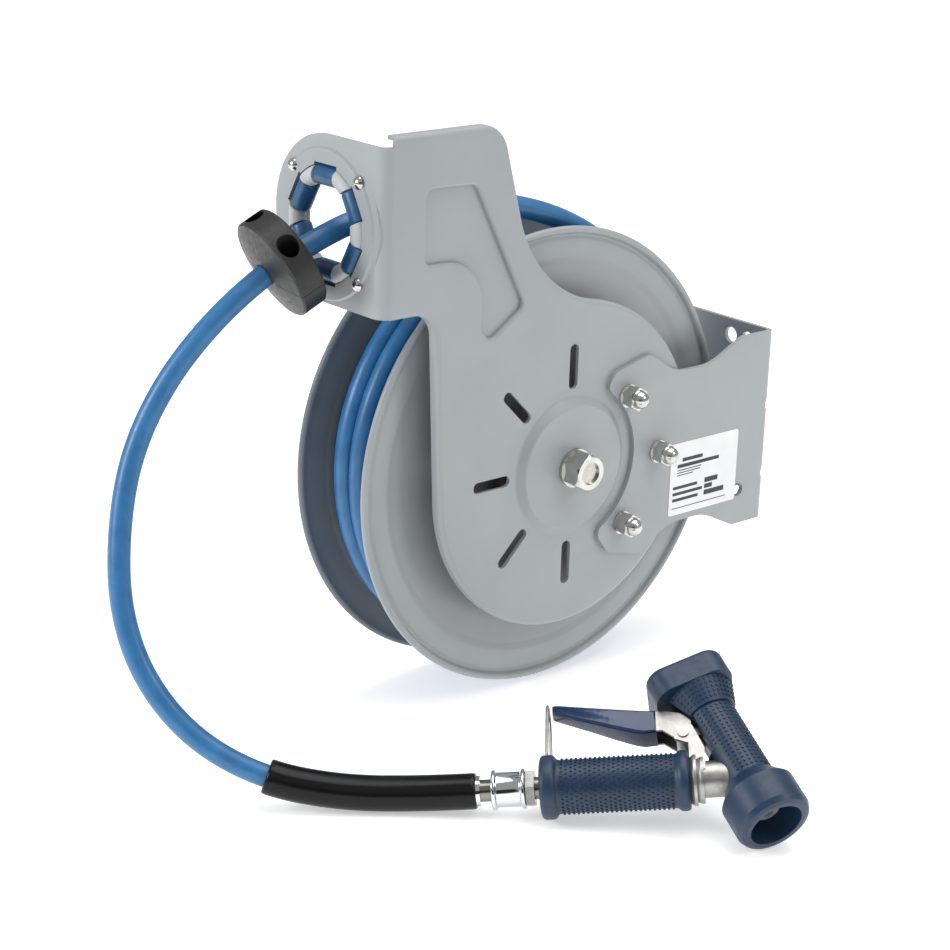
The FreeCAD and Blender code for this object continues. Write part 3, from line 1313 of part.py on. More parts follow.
# Lever: a folded steel channel, dipped in vinyl over its handle
LEVER_TOP = [(9, 67), (20, 65.5), (48, 60), (75, 55), (93, 53.5), (104, 51), (108.5, 45), (109, 33)]
LEVER_LOW = [(103, 26.5), (97, 31), (88, 38), (75, 37), (63, 40), (40, 49), (16, 58), (9, 61)]
FINGER = [(102, 37.5), (105, 29.5), (120.4, 41.6), (121.3, 44.3), (119.6, 46.6), (116.6, 45.6)]


def lever_plan(half, tip):
    """Plan of the lever, narrow at its free end."""
    corners = [(tip, s.lever_tip.number), (76, 0), (125, 0)]
    near = [Vector(x, -half + (s.lever_half_width.number - w if w else 0), 0) for x, w in corners]
    far = [Vector(p.x, -p.y, 0) for p in reversed(near)]
    wire = Part.makePolygon(near + far + near[:1])
    return Part.Face(wire).extrude(Vector(0, 0, 90))


def lever_channel():
    """A channel folded from sheet, open towards the grip."""
    half = s.lever_half_width.number
    wall = s.lever_sheet.number
    outside = upright_plate(LEVER_TOP + LEVER_LOW, 2 * half, -half)
    hollow = [(x, z - wall) for x, z in LEVER_TOP[:-2]]
    hollow = [(hollow[0][0] + wall, hollow[0][1])] + hollow[1:]
    hollow += [(104, 20), (12 + wall, 20), (9 + wall, 50)]
    inside = upright_plate(hollow, 2 * (half - wall), wall - half)
    outside = outside.common(lever_plan(half, 9))
    return outside.cut(inside.common(lever_plan(half - wall, 9)))


lever = lever_channel()
finger_half = 2.5
finger_plate = upright_plate(FINGER, 2 * finger_half, -finger_half)
cross = Part.makeCylinder(
    5.4, 2 * s.lever_half_width.number,
    Vector(s.pivot_along.number, -s.lever_half_width.number, s.pivot_up.number), Vector(0, 1, 0),
)
lever = lever.fuse([finger_plate, cross])
pivot_hole = Part.makeCylinder(
    s.pivot_radius.number + s.running_fit.number, 60,
    Vector(s.pivot_along.number, -30, s.pivot_up.number), Vector(0, 1, 0),
)
gun_part("trigger_lever", feature(lever.cut(pivot_hole)))


def lever_cover():
    """The vinyl coat stands on the outside of the channel, short of the pivot."""
    coat = s.cover_thick.number
    half = s.lever_half_width.number
    top = [p for p in LEVER_TOP if p[0] < 80]
    low = [p for p in LEVER_LOW if p[0] < 80]
    core = upright_plate(LEVER_TOP + LEVER_LOW, 2 * half, -half).common(lever_plan(half, 9))
    raised = [(x - coat if x < 10 else x, z + coat) for x, z in top]
    lowered = [(x - coat if x < 10 else x, z - coat) for x, z in low]
    outside = upright_plate(raised + [(84, 54.2 + coat), (84, 37.7 - coat)] + lowered,
                            2 * (half + coat), -half - coat)
    outside = outside.common(lever_plan(half + coat, 9 - coat))
    open_under = [(x + 1, z - 3) for x, z in top] + [(90, 51), (90, 10), (5, 10)]
    inside = upright_plate(open_under, 2 * half - 2, 1 - half).common(lever_plan(half - 1, 9))
    return feature(outside.cut(core).cut(inside))


gun_part("lever_cover", lever_cover())
pin_half = EAR_INNER + EAR_THICK + 1.2
pivot_pin = joined(
    cylinder(s.pivot_radius, 2 * pin_half, (s.pivot_along, -pin_half, s.pivot_up), "Y"),
    cylinder(4.2, 1.2, (s.pivot_along, -pin_half, s.pivot_up), "Y"),
    cylinder(4.2, 1.2, (s.pivot_along, pin_half - 1.2, s.pivot_up), "Y"),
)
gun_part("lever_pivot", pivot_pin)


def wire_form(points, radius):
    """Round wire bent through the points."""
    pieces = []
    for start, end in zip(points, points[1:]):
        pieces.append(Part.makeCylinder(radius, (end - start).Length, start, end - start))
    for corner in points[1:-1]:
        pieces.append(Part.makeSphere(radius, corner))
    return feature(pieces[0].fuse(pieces[1:]).removeSplitter())


side = s.bail_side.number
bail_x = s.bail_along.number
bail_z = s.bail_up.number
bail_top = s.bail_top.number
bail_points = [
    Vector(bail_x, side - 6, bail_z), Vector(bail_x, side, bail_z),
    Vector(5.4, side * 0.55, bail_top - 6), Vector(5.2, side * 0.35, bail_top - 1.6),
    Vector(5.2, side * 0.12, bail_top),
]
mirrored = [Vector(p.x, -p.y, p.z) for p in reversed(bail_points)]
gun_part("lock_bail", wire_form(bail_points + mirrored, s.bail_wire.number))

# ---------------------------------------------------------------------------------------------
# Recompute, check and export
# ---------------------------------------------------------------------------------------------
doc.recompute()
faults = []
for obj in doc.Objects:
    if "Invalid" in obj.State or "Error" in obj.State:
        faults.append("%s is %s" % (obj.Label, obj.State))
for obj in subparts:
    if obj.Shape.isNull() or not obj.Shape.isValid() or not obj.Shape.Solids:
        faults.append("%s has a faulty shape" % obj.Label)
if faults:
    raise SystemExit("; ".join(faults))
for obj in subparts:
    obj.Shape.exportStep("parts/%s.step" % obj.Label)
print("%d parts" % len(subparts))
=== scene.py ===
import bpy
import bmesh
import math
from mathutils import Matrix, Vector


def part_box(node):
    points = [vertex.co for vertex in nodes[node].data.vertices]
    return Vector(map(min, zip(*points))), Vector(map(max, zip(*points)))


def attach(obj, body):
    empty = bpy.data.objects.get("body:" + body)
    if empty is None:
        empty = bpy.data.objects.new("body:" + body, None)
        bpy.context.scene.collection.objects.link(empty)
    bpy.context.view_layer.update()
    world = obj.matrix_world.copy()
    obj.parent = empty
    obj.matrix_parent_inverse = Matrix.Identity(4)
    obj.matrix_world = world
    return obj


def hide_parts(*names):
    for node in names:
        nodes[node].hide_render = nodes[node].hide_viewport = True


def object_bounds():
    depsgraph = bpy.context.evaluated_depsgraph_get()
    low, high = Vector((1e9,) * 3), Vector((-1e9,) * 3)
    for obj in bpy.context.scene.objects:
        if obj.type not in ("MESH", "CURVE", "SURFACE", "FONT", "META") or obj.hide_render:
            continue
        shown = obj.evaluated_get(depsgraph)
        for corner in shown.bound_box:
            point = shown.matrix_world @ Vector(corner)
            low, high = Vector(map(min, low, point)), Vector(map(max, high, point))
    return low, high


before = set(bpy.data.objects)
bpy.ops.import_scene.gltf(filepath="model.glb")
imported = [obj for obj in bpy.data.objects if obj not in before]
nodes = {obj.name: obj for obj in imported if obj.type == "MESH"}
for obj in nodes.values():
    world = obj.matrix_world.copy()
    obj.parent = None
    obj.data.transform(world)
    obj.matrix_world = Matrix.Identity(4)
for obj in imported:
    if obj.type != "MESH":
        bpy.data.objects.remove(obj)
cad_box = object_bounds()

# ---------------------------------------------------------------------------------------------
# Camera, floor and lamps. The camera stands on the arm's side of the reel and above its hub. The
# hose end lies on a pale floor, with a small soft lamp each side and a large one overhead.
# ---------------------------------------------------------------------------------------------
MM = 0.001
SPINDLE = Vector((0, -0.224, 0.0055))
FLOOR_LEVEL = -191
FLOOR_RADIUS = 2.4


def reel_point(x, y, z):
    """A place measured in millimetres from the drum's centre, in metres."""
    return SPINDLE + Vector((x, y, z)) * MM


camera_right = Vector((0.6471, 0.7618, 0.0297))
camera_up = Vector((-0.2632, 0.1867, 0.9465))
camera_back = Vector((0.7155, -0.6203, 0.3214))
camera = bpy.data.objects.new("camera", bpy.data.cameras.new("camera"))
bpy.context.scene.collection.objects.link(camera)
camera.data.sensor_width = 36
camera.data.lens = 87.65
camera.data.clip_end = 20
camera_place = reel_point(1313.68, -1179.16, 571.91)
camera.matrix_world = Matrix((
    (camera_right.x, camera_up.x, camera_back.x, camera_place.x),
    (camera_right.y, camera_up.y, camera_back.y, camera_place.y),
    (camera_right.z, camera_up.z, camera_back.z, camera_place.z),
    (0, 0, 0, 1),
))
bpy.context.scene.camera = camera


def new_material(name, colour, rough, metal=0.0, coat=0.0, coat_rough=0.1):
    """A material whose shader has its plain numbers on its own sockets."""
    material = bpy.data.materials.new(name)
    material.use_nodes = True
    shader = material.node_tree.nodes["Principled BSDF"]
    shader.inputs["Base Color"].default_value = (*colour, 1)
    shader.inputs["Roughness"].default_value = rough
    shader.inputs["Metallic"].default_value = metal
    shader.inputs["Coat Weight"].default_value = coat
    shader.inputs["Coat Roughness"].default_value = coat_rough
    return material


def add_node(material, kind, **values):
    node = material.node_tree.nodes.new(kind)
    for name, value in values.items():
        node.inputs[name].default_value = value
    return node


def wire(material, start, end):
    material.node_tree.links.new(start, end)


def noise(material, scale, detail):
    """Noise over the piece's own coordinates; scale is in features per metre."""
    place = add_node(material, "ShaderNodeTexCoord")
    pattern = add_node(material, "ShaderNodeTexNoise", Scale=scale, Detail=detail, Roughness=0.55)
    wire(material, place.outputs["Object"], pattern.inputs["Vector"])
    return pattern.outputs["Fac"]


def spread(material, value, low, high):
    """Maps the middle of a pattern to low to high."""
    middle = {"From Min": 0.3, "From Max": 0.7}
    remap = add_node(material, "ShaderNodeMapRange", **middle, **{"To Min": low, "To Max": high})
    wire(material, value, remap.inputs["Value"])
    return remap.outputs["Result"]


def two_tone(material, value, colour_a, colour_b):
    """Blends two colours over a pattern and puts them on the shader."""
    ramp = add_node(material, "ShaderNodeValToRGB")
    ramp.color_ramp.elements[0].position = 0.35
    ramp.color_ramp.elements[1].position = 0.65
    ramp.color_ramp.elements[0].color = (*colour_a, 1)
    ramp.color_ramp.elements[1].color = (*colour_b, 1)
    wire(material, value, ramp.inputs["Fac"])
    shader = material.node_tree.nodes["Principled BSDF"]
    wire(material, ramp.outputs["Color"], shader.inputs["Base Color"])


def bump(material, value, height, strength):
    """Small relief, height in metres."""
    relief = add_node(material, "ShaderNodeBump", Strength=strength, Distance=height)
    wire(material, value, relief.inputs["Height"])
    shader = material.node_tree.nodes["Principled BSDF"]
    wire(material, relief.outputs["Normal"], shader.inputs["Normal"])


def vary_roughness(material, value):
    shader = material.node_tree.nodes["Principled BSDF"]
    wire(material, value, shader.inputs["Roughness"])


floor_paint = new_material("pale_floor", (0.92, 0.92, 0.92), 0.8)
floor_glow = floor_paint.node_tree.nodes["Principled BSDF"]
floor_glow.inputs["Emission Color"].default_value = (1, 1, 1, 1)
floor_glow.inputs["Emission Strength"].default_value = 0.45
floor_mesh = bmesh.new()
bmesh.ops.create_circle(floor_mesh, cap_ends=True, segments=64,
                         radius=FLOOR_RADIUS)
floor_data = bpy.data.meshes.new("floor")
floor_mesh.to_mesh(floor_data)
floor_mesh.free()
floor = bpy.data.objects.new("floor", floor_data)
floor.location = (0, 0, min(cad_box[0][2], reel_point(0, 0, FLOOR_LEVEL).z) - 0.0005)
floor.data.materials.append(floor_paint)
bpy.context.scene.collection.objects.link(floor)

# seen directly the backdrop is white; as a light it is softer
world = bpy.data.worlds.new("studio")
world.use_nodes = True
sky = world.node_tree.nodes["Background"]
sky.inputs["Color"].default_value = (1, 1, 1, 1)
seen = world.node_tree.nodes.new("ShaderNodeLightPath")
level = world.node_tree.nodes.new("ShaderNodeMapRange")
level.inputs["To Min"].default_value = 0.44
level.inputs["To Max"].default_value = 1.0
world.node_tree.links.new(seen.outputs["Is Camera Ray"], level.inputs["Value"])
world.node_tree.links.new(level.outputs["Result"], sky.inputs["Strength"])
bpy.context.scene.world = world
bpy.context.scene.view_settings.view_transform = "Standard"


def place_facing(name, data, place, target):
    """Stands a lamp or a board at a place, turned to face its target."""
    obj = bpy.data.objects.new(name, data)
    obj.location = place
    obj.rotation_euler = (Vector(target) - Vector(place)).to_track_quat("-Z", "Y").to_euler()
    bpy.context.scene.collection.objects.link(obj)
    return obj


def soft_lamp(name, place, target, size, power):
    data = bpy.data.lights.new(name, "AREA")
    data.size = size
    data.energy = power
    place_facing(name, data, place, target)


soft_lamp("lamp_over", (0.2, 0.3, 3.0), (0, 0.2, 0), 3.0, 80)
soft_lamp("lamp_left", (-0.6, -2.3, 0.9), (0, -0.3, 0), 0.8, 26)
soft_lamp("lamp_right", (1.7, 0.6, 1.3), (0, -0.25, 0), 0.7, 9)

# two dark boards, seen only in reflections, give bright metal something to mirror
board_black = new_material("board_black", (0.015, 0.015, 0.016), 0.9)


def dark_board(name, place, target, wide, high):
    shape = bmesh.new()
    bmesh.ops.create_grid(shape, x_segments=1, y_segments=1, size=0.5,
                          matrix=Matrix.Diagonal((wide, high, 1, 1)))
    data = bpy.data.meshes.new(name)
    shape.to_mesh(data)
    shape.free()
    data.materials.append(board_black)
    board = place_facing(name, data, place, target)
    board.visible_camera = False


dark_board("board_back", (2.1, -2.2, 0.50), (0, -0.3, 0.1), 2.8, 1.1)
dark_board("board_low", (-0.4, -2.6, 0.25), (0, -0.3, 0.1), 1.6, 0.4)

# ---------------------------------------------------------------------------------------------
# Hose: smooth blue cover, 17 mm across. One length is wound on the drum in three layers, and the
# other leaves over the top, goes through the rollers and hangs in an arc to the floor.
# ---------------------------------------------------------------------------------------------
HOSE_RADIUS = 8.5
GUN_TURN = (
    Matrix.Rotation(math.radians(45), 3, "Z")
    @ Matrix.Rotation(math.radians(-7.2), 3, "Y")
    @ Matrix.Rotation(math.radians(-60), 3, "X")
)
GRIP_END = Vector((224, -163, -167))
FITTING_REACH = 46
STRAIGHT_END = 40
GUN_PLACE = Matrix.Translation(reel_point(*GRIP_END)) @ GUN_TURN.to_4x4()
gun_axis = GUN_TURN @ Vector((1, 0, 0))
hose_end = GRIP_END - gun_axis * FITTING_REACH
LEAD_ROUTE = [
    (26.4, 157.8, -8), (26.4, 157.8, 27.8), (26.4, 138.8, 80.1), (26.4, 108, 124),
    (26, 70, 158), (19, 22, 187), (13, -35, 204), (8, -97, 209.5), (4, -160, 206),
    (1, -206, 191), (-6, -249, 167), (-17, -285, 134), (-26, -316, 94), (-28, -341, 48),
    (-19, -358, -2), (-2, -369, -53), (22, -366, -100), (54, -347, -140), (91, -314, -166),
    (127, -270, -177.5),
    tuple(hose_end - gun_axis * STRAIGHT_END), tuple(hose_end),
]

hose_cover = new_material("hose_cover", (0.022, 0.145, 0.34), 0.4, coat=0.1, coat_rough=0.3)
two_tone(hose_cover, noise(hose_cover, 60, 4), (0.018, 0.125, 0.305), (0.028, 0.160, 0.365))
vary_roughness(hose_cover, spread(hose_cover, noise(hose_cover, 320, 2), 0.30, 0.46))
bump(hose_cover, noise(hose_cover, 900, 2), 0.00012, 0.5)


def smooth_line(name, points, radius, smooth_steps):
    """A round curve over control points given in metres."""
    data = bpy.data.curves.new(name, "CURVE")
    data.dimensions = "3D"
    data.resolution_u = smooth_steps
    data.bevel_depth = 1.0
    data.bevel_resolution = 5
    data.use_fill_caps = True
    spline = data.splines.new("NURBS")
    spline.points.add(len(points) - 1)
    for control, place in zip(spline.points, points):
        control.co = (*place, 1)
        control.radius = radius * MM
    spline.order_u = 3
    spline.use_endpoint_u = True
    obj = bpy.data.objects.new(name, data)
    bpy.context.scene.collection.objects.link(obj)
    return obj


def line_points(obj):
    """Points along a curve's middle line."""
    thick = obj.data.bevel_depth
    obj.data.bevel_depth = 0
    mesh = bpy.data.meshes.new_from_object(obj)
    places = [v.co.copy() for v in mesh.vertices]
    bpy.data.meshes.remove(mesh)
    obj.data.bevel_depth = thick
    return places


hose_lead = smooth_line("hose_leaving", [reel_point(*p) for p in LEAD_ROUTE], HOSE_RADIUS, 12)
hose_lead.data.materials.append(hose_cover)
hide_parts("hose_lead")
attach(hose_lead, "frame")
lead_line = line_points(hose_lead)

# The wound length climbs a layer at each flange. Each station is a turn count, a place across the
# drum and a radius. The smooth line cuts inside its points, so they are set out a little.
STEPS_PER_TURN = 16
LAST_TURN = 9.728
WINDING = [
    (0.0, -14, 124.5), (0.3, -26.2, 127.4), (3.2, 26.2, 127.4), (3.55, 26.2, 142.4),
    (6.45, -26.2, 142.4), (6.8, -26.2, 157.6), (LAST_TURN - 0.12, 26.4, 157.7),
    (LAST_TURN, 26.4, 157.8),
]
SET_OUT = 1.0135


def winding_at(turn):
    for (t0, x0, r0), (t1, x1, r1) in zip(WINDING, WINDING[1:]):
        if turn <= t1:
            part = (turn - t0) / (t1 - t0)
            return x0 + (x1 - x0) * part, r0 + (r1 - r0) * part
    return WINDING[-1][1:]


wound_points = []
wound_count = int(LAST_TURN * STEPS_PER_TURN)
for i in range(wound_count + 1):
    turn = LAST_TURN * i / wound_count
    side, radius = winding_at(turn)
    angle = math.pi / 2 + 2 * math.pi * turn
    radius = radius if i in (0, wound_count) else radius * SET_OUT
    wound_points.append(reel_point(side, radius * math.cos(angle), radius * math.sin(angle)))
hose_wound = smooth_line("hose_on_drum", wound_points, HOSE_RADIUS, 4)
hose_wound.data.materials.append(hose_cover)
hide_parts("hose_wound")
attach(hose_wound, "drum")

# ---------------------------------------------------------------------------------------------
# Hose end sleeve: a black rubber tube that stiffens the last stretch of the hose. It is pushed
# over the hose and its crimped ferrule, and lies on the floor.
# ---------------------------------------------------------------------------------------------
SLEEVE_LENGTH = 0.152
SLEEVE_RADIUS = 13
SLEEVE_STEP = 0.003
EDGE_LENGTH = 0.0015
EDGE_DROP = 1.2
black_rubber = new_material("black_rubber", (0.006, 0.006, 0.0065), 0.2)
black_rubber.node_tree.nodes["Principled BSDF"].inputs["Specular IOR Level"].default_value = 0.2
vary_roughness(black_rubber, spread(black_rubber, noise(black_rubber, 260, 3), 0.14, 0.24))
bump(black_rubber, noise(black_rubber, 1400, 2), 0.00010, 0.5)


def finish_mesh(name, bm, body, material, replaced, place=None, sharp=35):
    """Makes a piece from a bmesh drawn in millimetres and rides it on its body."""
    bmesh.ops.remove_doubles(bm, verts=bm.verts, dist=1e-5)
    bmesh.ops.recalc_face_normals(bm, faces=bm.faces)
    bm.transform(Matrix.Scale(MM, 4))
    bm.transform(place if place is not None else Matrix.Translation(SPINDLE))
    data = bpy.data.meshes.new(name)
    bm.to_mesh(data)
    bm.free()
    data.shade_smooth()
    data.set_sharp_from_angle(angle=math.radians(sharp))
    obj = bpy.data.objects.new(name, data)
    obj.data.materials.append(material)
    bpy.context.scene.collection.objects.link(obj)
    if replaced:
        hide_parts(*replaced)
    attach(obj, body)
    return obj


def tube_along(places, radius_at):
    """A closed round tube over close-set places; radius_at gives its radius at each length."""
    bm = bmesh.new()
    rings = []
    reach = 0.0
    for i, here in enumerate(places):
        ahead = (places[min(i + 1, len(places) - 1)] - places[max(i - 1, 0)]).normalized()
        if i:
            reach += (here - places[i - 1]).length
        turn = ahead.to_track_quat("Z", "Y").to_matrix().to_4x4()
        made = bmesh.ops.create_circle(bm, segments=40, radius=radius_at(reach),
                                       matrix=Matrix.Translation(here) @ turn)
        rings.append(made["verts"])
    for before, after in zip(rings, rings[1:]):
        edges = [e for ring in (before, after) for v in ring for e in v.link_edges
                 if all(w in ring for w in e.verts)]
        bmesh.ops.bridge_loops(bm, edges=list(set(edges)))
    bmesh.ops.holes_fill(bm, edges=[e for e in bm.edges if e.is_boundary], sides=0)
    return bm


def last_stretch(places, length):
    """The end of a line, the given length long."""
    kept = [places[-1]]
    left = length
    for here in reversed(places[:-1]):
        step = (kept[-1] - here).length
        if step >= left:
            kept.append(kept[-1] + (here - kept[-1]) * (left / step))
            break
        kept.append(here)
        left -= step
    return list(reversed(kept))


def sleeve_radius(reach):
    """The sleeve's radius at a length along it, rounded down at each end."""
    edge = min(reach, SLEEVE_LENGTH - reach)
    return SLEEVE_RADIUS - EDGE_DROP * max(0.0, 1 - edge / EDGE_LENGTH) ** 2


sleeve_line = last_stretch(lead_line, SLEEVE_LENGTH)
close_set = []
for a, b in zip(sleeve_line, sleeve_line[1:]):
    count = max(1, int((b - a).length / SLEEVE_STEP))
    close_set += [a.lerp(b, k / count) for k in range(count)]
close_set.append(sleeve_line[-1])
close_set.insert(1, close_set[0].lerp(close_set[1], 0.3))
close_set.insert(-1, close_set[-1].lerp(close_set[-2], 0.3))
sleeve_tube = tube_along([p / MM for p in close_set], lambda reach: sleeve_radius(reach * MM))
sleeve = finish_mesh("hose_end_sleeve", sleeve_tube, "frame", black_rubber,
                     ("hose_sleeve",), Matrix(), 50)

# ---------------------------------------------------------------------------------------------
# Powder coated steel: guide arm, wall bracket and the drum's core and spring case. All are
# pressed sheet with a satin grey powder coat that has a fine orange peel.
# ---------------------------------------------------------------------------------------------
powder_coat = new_material("grey_powder_coat", (0.33, 0.355, 0.37), 0.36,
                           coat=0.25, coat_rough=0.25)
two_tone(powder_coat, noise(powder_coat, 14, 3), (0.32, 0.345, 0.36), (0.34, 0.365, 0.38))
vary_roughness(powder_coat, spread(powder_coat, noise(powder_coat, 90, 3), 0.36, 0.48))
bump(powder_coat, noise(powder_coat, 520, 3), 0.00014, 0.35)


def finish_node(material, *names):
    """Puts a finish on CAD pieces that keep their shape."""
    for name in names:
        data = nodes[name].data
        data.materials.clear()
        data.materials.append(material)


finish_node(powder_coat, "guide_arm", "wall_bracket", "drum_core", "spring_case")

# ---------------------------------------------------------------------------------------------
# Drum flanges: spun steel discs with a rolled rim, a step inside the rim and a welded hub. The near
# disc is coated like the arm; the far one has the same coat, painted darker slate as painted shade.
# ---------------------------------------------------------------------------------------------
RIM_BEAD = 3


def lathe(profile, steps):
    """Turns a closed outline of (along, radius) points about X."""
    bm = bmesh.new()
    verts = [bm.verts.new((along, 0, radius)) for along, radius in profile]
    edges = [bm.edges.new(pair) for pair in zip(verts, verts[1:])]
    edges.append(bm.edges.new((verts[-1], verts[0])))
    bmesh.ops.spin(bm, geom=verts + edges, cent=(0, 0, 0), axis=(1, 0, 0),
                   angle=2 * math.pi, steps=steps, use_merge=True)
    return bm


def rim_bead(centre, start, end, steps):
    """Points round the rolled rim, from start to end degrees."""
    points = []
    for i in range(steps + 1):
        angle = math.radians(start + (end - start) * i / steps)
        points.append((centre[0] + RIM_BEAD * math.cos(angle),
                       centre[1] + RIM_BEAD * math.sin(angle)))
    return points


def flange_profile():
    """Outline of one disc: inner face, rolled rim, outer face and hub."""
    bead = rim_bead((39.5, 182), 215, -60, 18)
    inside = [(35.5, 16), (35.5, 100), (35.5, 154), (35.8, 155.5), (37.1, 159), (37.5, 161),
              (37.5, 174)]
    outside = [(39.8, 178.9), (38.9, 178.3), (38.6, 177.4), (38.7, 176.4), (39.3, 175.4),
               (39.5, 174), (39.5, 162), (39.1, 159.8), (37.9, 156), (37.5, 154), (37.5, 100),
               (37.5, 23)]
    hub = [(41.0, 23), (41.5, 22.5), (41.5, 16)]
    return inside + bead + outside + hub


# painted shade: the far disc's coat is made a darker slate to stand in for the shade between the
# discs
far_disc_painted_shade = new_material("powder_coat_painted_shade", (0.13, 0.155, 0.175), 0.45,
                          coat=0.1, coat_rough=0.35)
two_tone(far_disc_painted_shade, noise(far_disc_painted_shade, 14, 3), (0.12, 0.145, 0.165), (0.14, 0.165, 0.185))
vary_roughness(far_disc_painted_shade, spread(far_disc_painted_shade, noise(far_disc_painted_shade, 90, 3), 0.40, 0.52))
bump(far_disc_painted_shade, noise(far_disc_painted_shade, 520, 3), 0.00014, 0.35)
for name, side, node, coat in (("flange_near", 1, "near_flange", powder_coat),
                               ("flange_far", -1, "far_flange", far_disc_painted_shade)):
    disc = lathe([(side * x, radius) for x, radius in flange_profile()], 180)
    finish_mesh(name, disc, "drum", coat, (node,), sharp=28)

# ---------------------------------------------------------------------------------------------
# Bright fasteners and turned metal: zinc plated bolts, washers, nuts and domed caps, the steel
# spindle that the drum runs on, and the brass water fittings, all with a faintly uneven finish.
# ---------------------------------------------------------------------------------------------
zinc = new_material("zinc_plate", (0.54, 0.535, 0.51), 0.2, metal=1.0)
two_tone(zinc, noise(zinc, 90, 2), (0.50, 0.495, 0.47), (0.58, 0.575, 0.55))
vary_roughness(zinc, spread(zinc, noise(zinc, 160, 2), 0.15, 0.25))
finish_node(zinc, "bracket_bolts", "bracket_lock_nuts", "bracket_cap_nuts", "spindle_washers",
            "spindle_nut", "retaining_ring", "fairlead_screws", "roller_pins", "tie_bolts",
            "tie_nuts", "bumper_screws", "pawl_pin", "riser_ferrule")

turned_steel = new_material("turned_steel", (0.48, 0.46, 0.42), 0.32, metal=1.0)
two_tone(turned_steel, noise(turned_steel, 110, 2), (0.44, 0.42, 0.38), (0.52, 0.50, 0.46))
vary_roughness(turned_steel, spread(turned_steel, noise(turned_steel, 500, 2), 0.24, 0.44))
finish_node(turned_steel, "spindle", "spring_arbor", "power_spring", "pawl", "pawl_spring",
            "ratchet_wheel")

brass = new_material("turned_brass", (0.60, 0.44, 0.18), 0.3, metal=1.0)
two_tone(brass, noise(brass, 180, 3), (0.50, 0.36, 0.14), (0.66, 0.50, 0.22))
vary_roughness(brass, spread(brass, noise(brass, 420, 2), 0.22, 0.42))
finish_node(brass, "inlet_elbow", "water_manifold", "outlet_riser", "hub_bushes")

# ---------------------------------------------------------------------------------------------
# Data label: a white film on the bracket's wing, printed with plain bars where a maker's words
# and numbers would stand.
# ---------------------------------------------------------------------------------------------
LABEL_CORNER = 2.5
PRINT_THICK = 0.04
PRINT_LIFT = 0.01
label_film = new_material("label_film", (0.80, 0.81, 0.81), 0.34, coat=0.3, coat_rough=0.2)
two_tone(label_film, noise(label_film, 40, 2), (0.76, 0.775, 0.78), (0.82, 0.83, 0.83))
label_low, label_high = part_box("data_label")
label_size = (Vector(label_high) - Vector(label_low)) / MM
label = bmesh.new()
bmesh.ops.create_cube(label, size=1, matrix=Matrix.Diagonal((*label_size, 1)))
uprights = [e for e in label.edges
            if abs(e.verts[0].co.y - e.verts[1].co.y) < 1e-6
            and abs(e.verts[0].co.z - e.verts[1].co.z) < 1e-6]
bmesh.ops.bevel(label, geom=uprights, offset=LABEL_CORNER, segments=5, profile=0.5,
                affect="EDGES", material=-1)
label_middle = (Vector(label_low) + Vector(label_high)) / 2
finish_mesh("label", label, "frame", label_film, ("data_label",),
            Matrix.Translation(label_middle))
label_ink = new_material("label_ink", (0.03, 0.03, 0.035), 0.5)
# plain bars: from the left edge, down from the top, wide and high, in shares of the label
BARS = [
    (0.17, 0.22, 0.30, 0.050), (0.10, 0.30, 0.62, 0.050), (0.10, 0.375, 0.36, 0.014),
    (0.10, 0.41, 0.34, 0.014), (0.10, 0.445, 0.24, 0.014), (0.05, 0.60, 0.36, 0.042),
    (0.05, 0.685, 0.44, 0.042), (0.05, 0.77, 0.38, 0.042), (0.52, 0.575, 0.20, 0.070),
    (0.52, 0.665, 0.12, 0.062), (0.52, 0.75, 0.30, 0.070), (0.05, 0.90, 0.80, 0.012),
]
print_bars = bmesh.new()
for bar in BARS:
    left, bar_wide = bar[0] * label_size.y, bar[2] * label_size.y
    down, bar_high = bar[1] * label_size.z, bar[3] * label_size.z
    centre = Vector((label_size.x / 2 + PRINT_LIFT, left + bar_wide / 2 - label_size.y / 2,
                     label_size.z / 2 - down - bar_high / 2))
    bmesh.ops.create_cube(print_bars, size=1, matrix=Matrix.Translation(centre)
                          @ Matrix.Diagonal((PRINT_THICK, bar_wide, bar_high, 1)))
finish_mesh("label_print", print_bars, "frame", label_ink, (),
            Matrix.Translation(label_middle))

# ---------------------------------------------------------------------------------------------
# Roller fairlead: a grey moulded carrier screwed behind the arm's front plate, with six blue
# plastic rollers on steel pins round the hose.
# ---------------------------------------------------------------------------------------------
# painted highlight: the carrier's grey is set lighter than the arm's coat to stand in for the
# highlights on its lumps
carrier_grey_painted_highlight = new_material("grey_painted_highlight", (0.47, 0.49, 0.50), 0.5)
two_tone(carrier_grey_painted_highlight, noise(carrier_grey_painted_highlight, 30, 3), (0.44, 0.46, 0.47), (0.50, 0.52, 0.53))
bump(carrier_grey_painted_highlight, noise(carrier_grey_painted_highlight, 900, 2), 0.0001, 0.5)
finish_node(carrier_grey_painted_highlight, "roller_carrier")

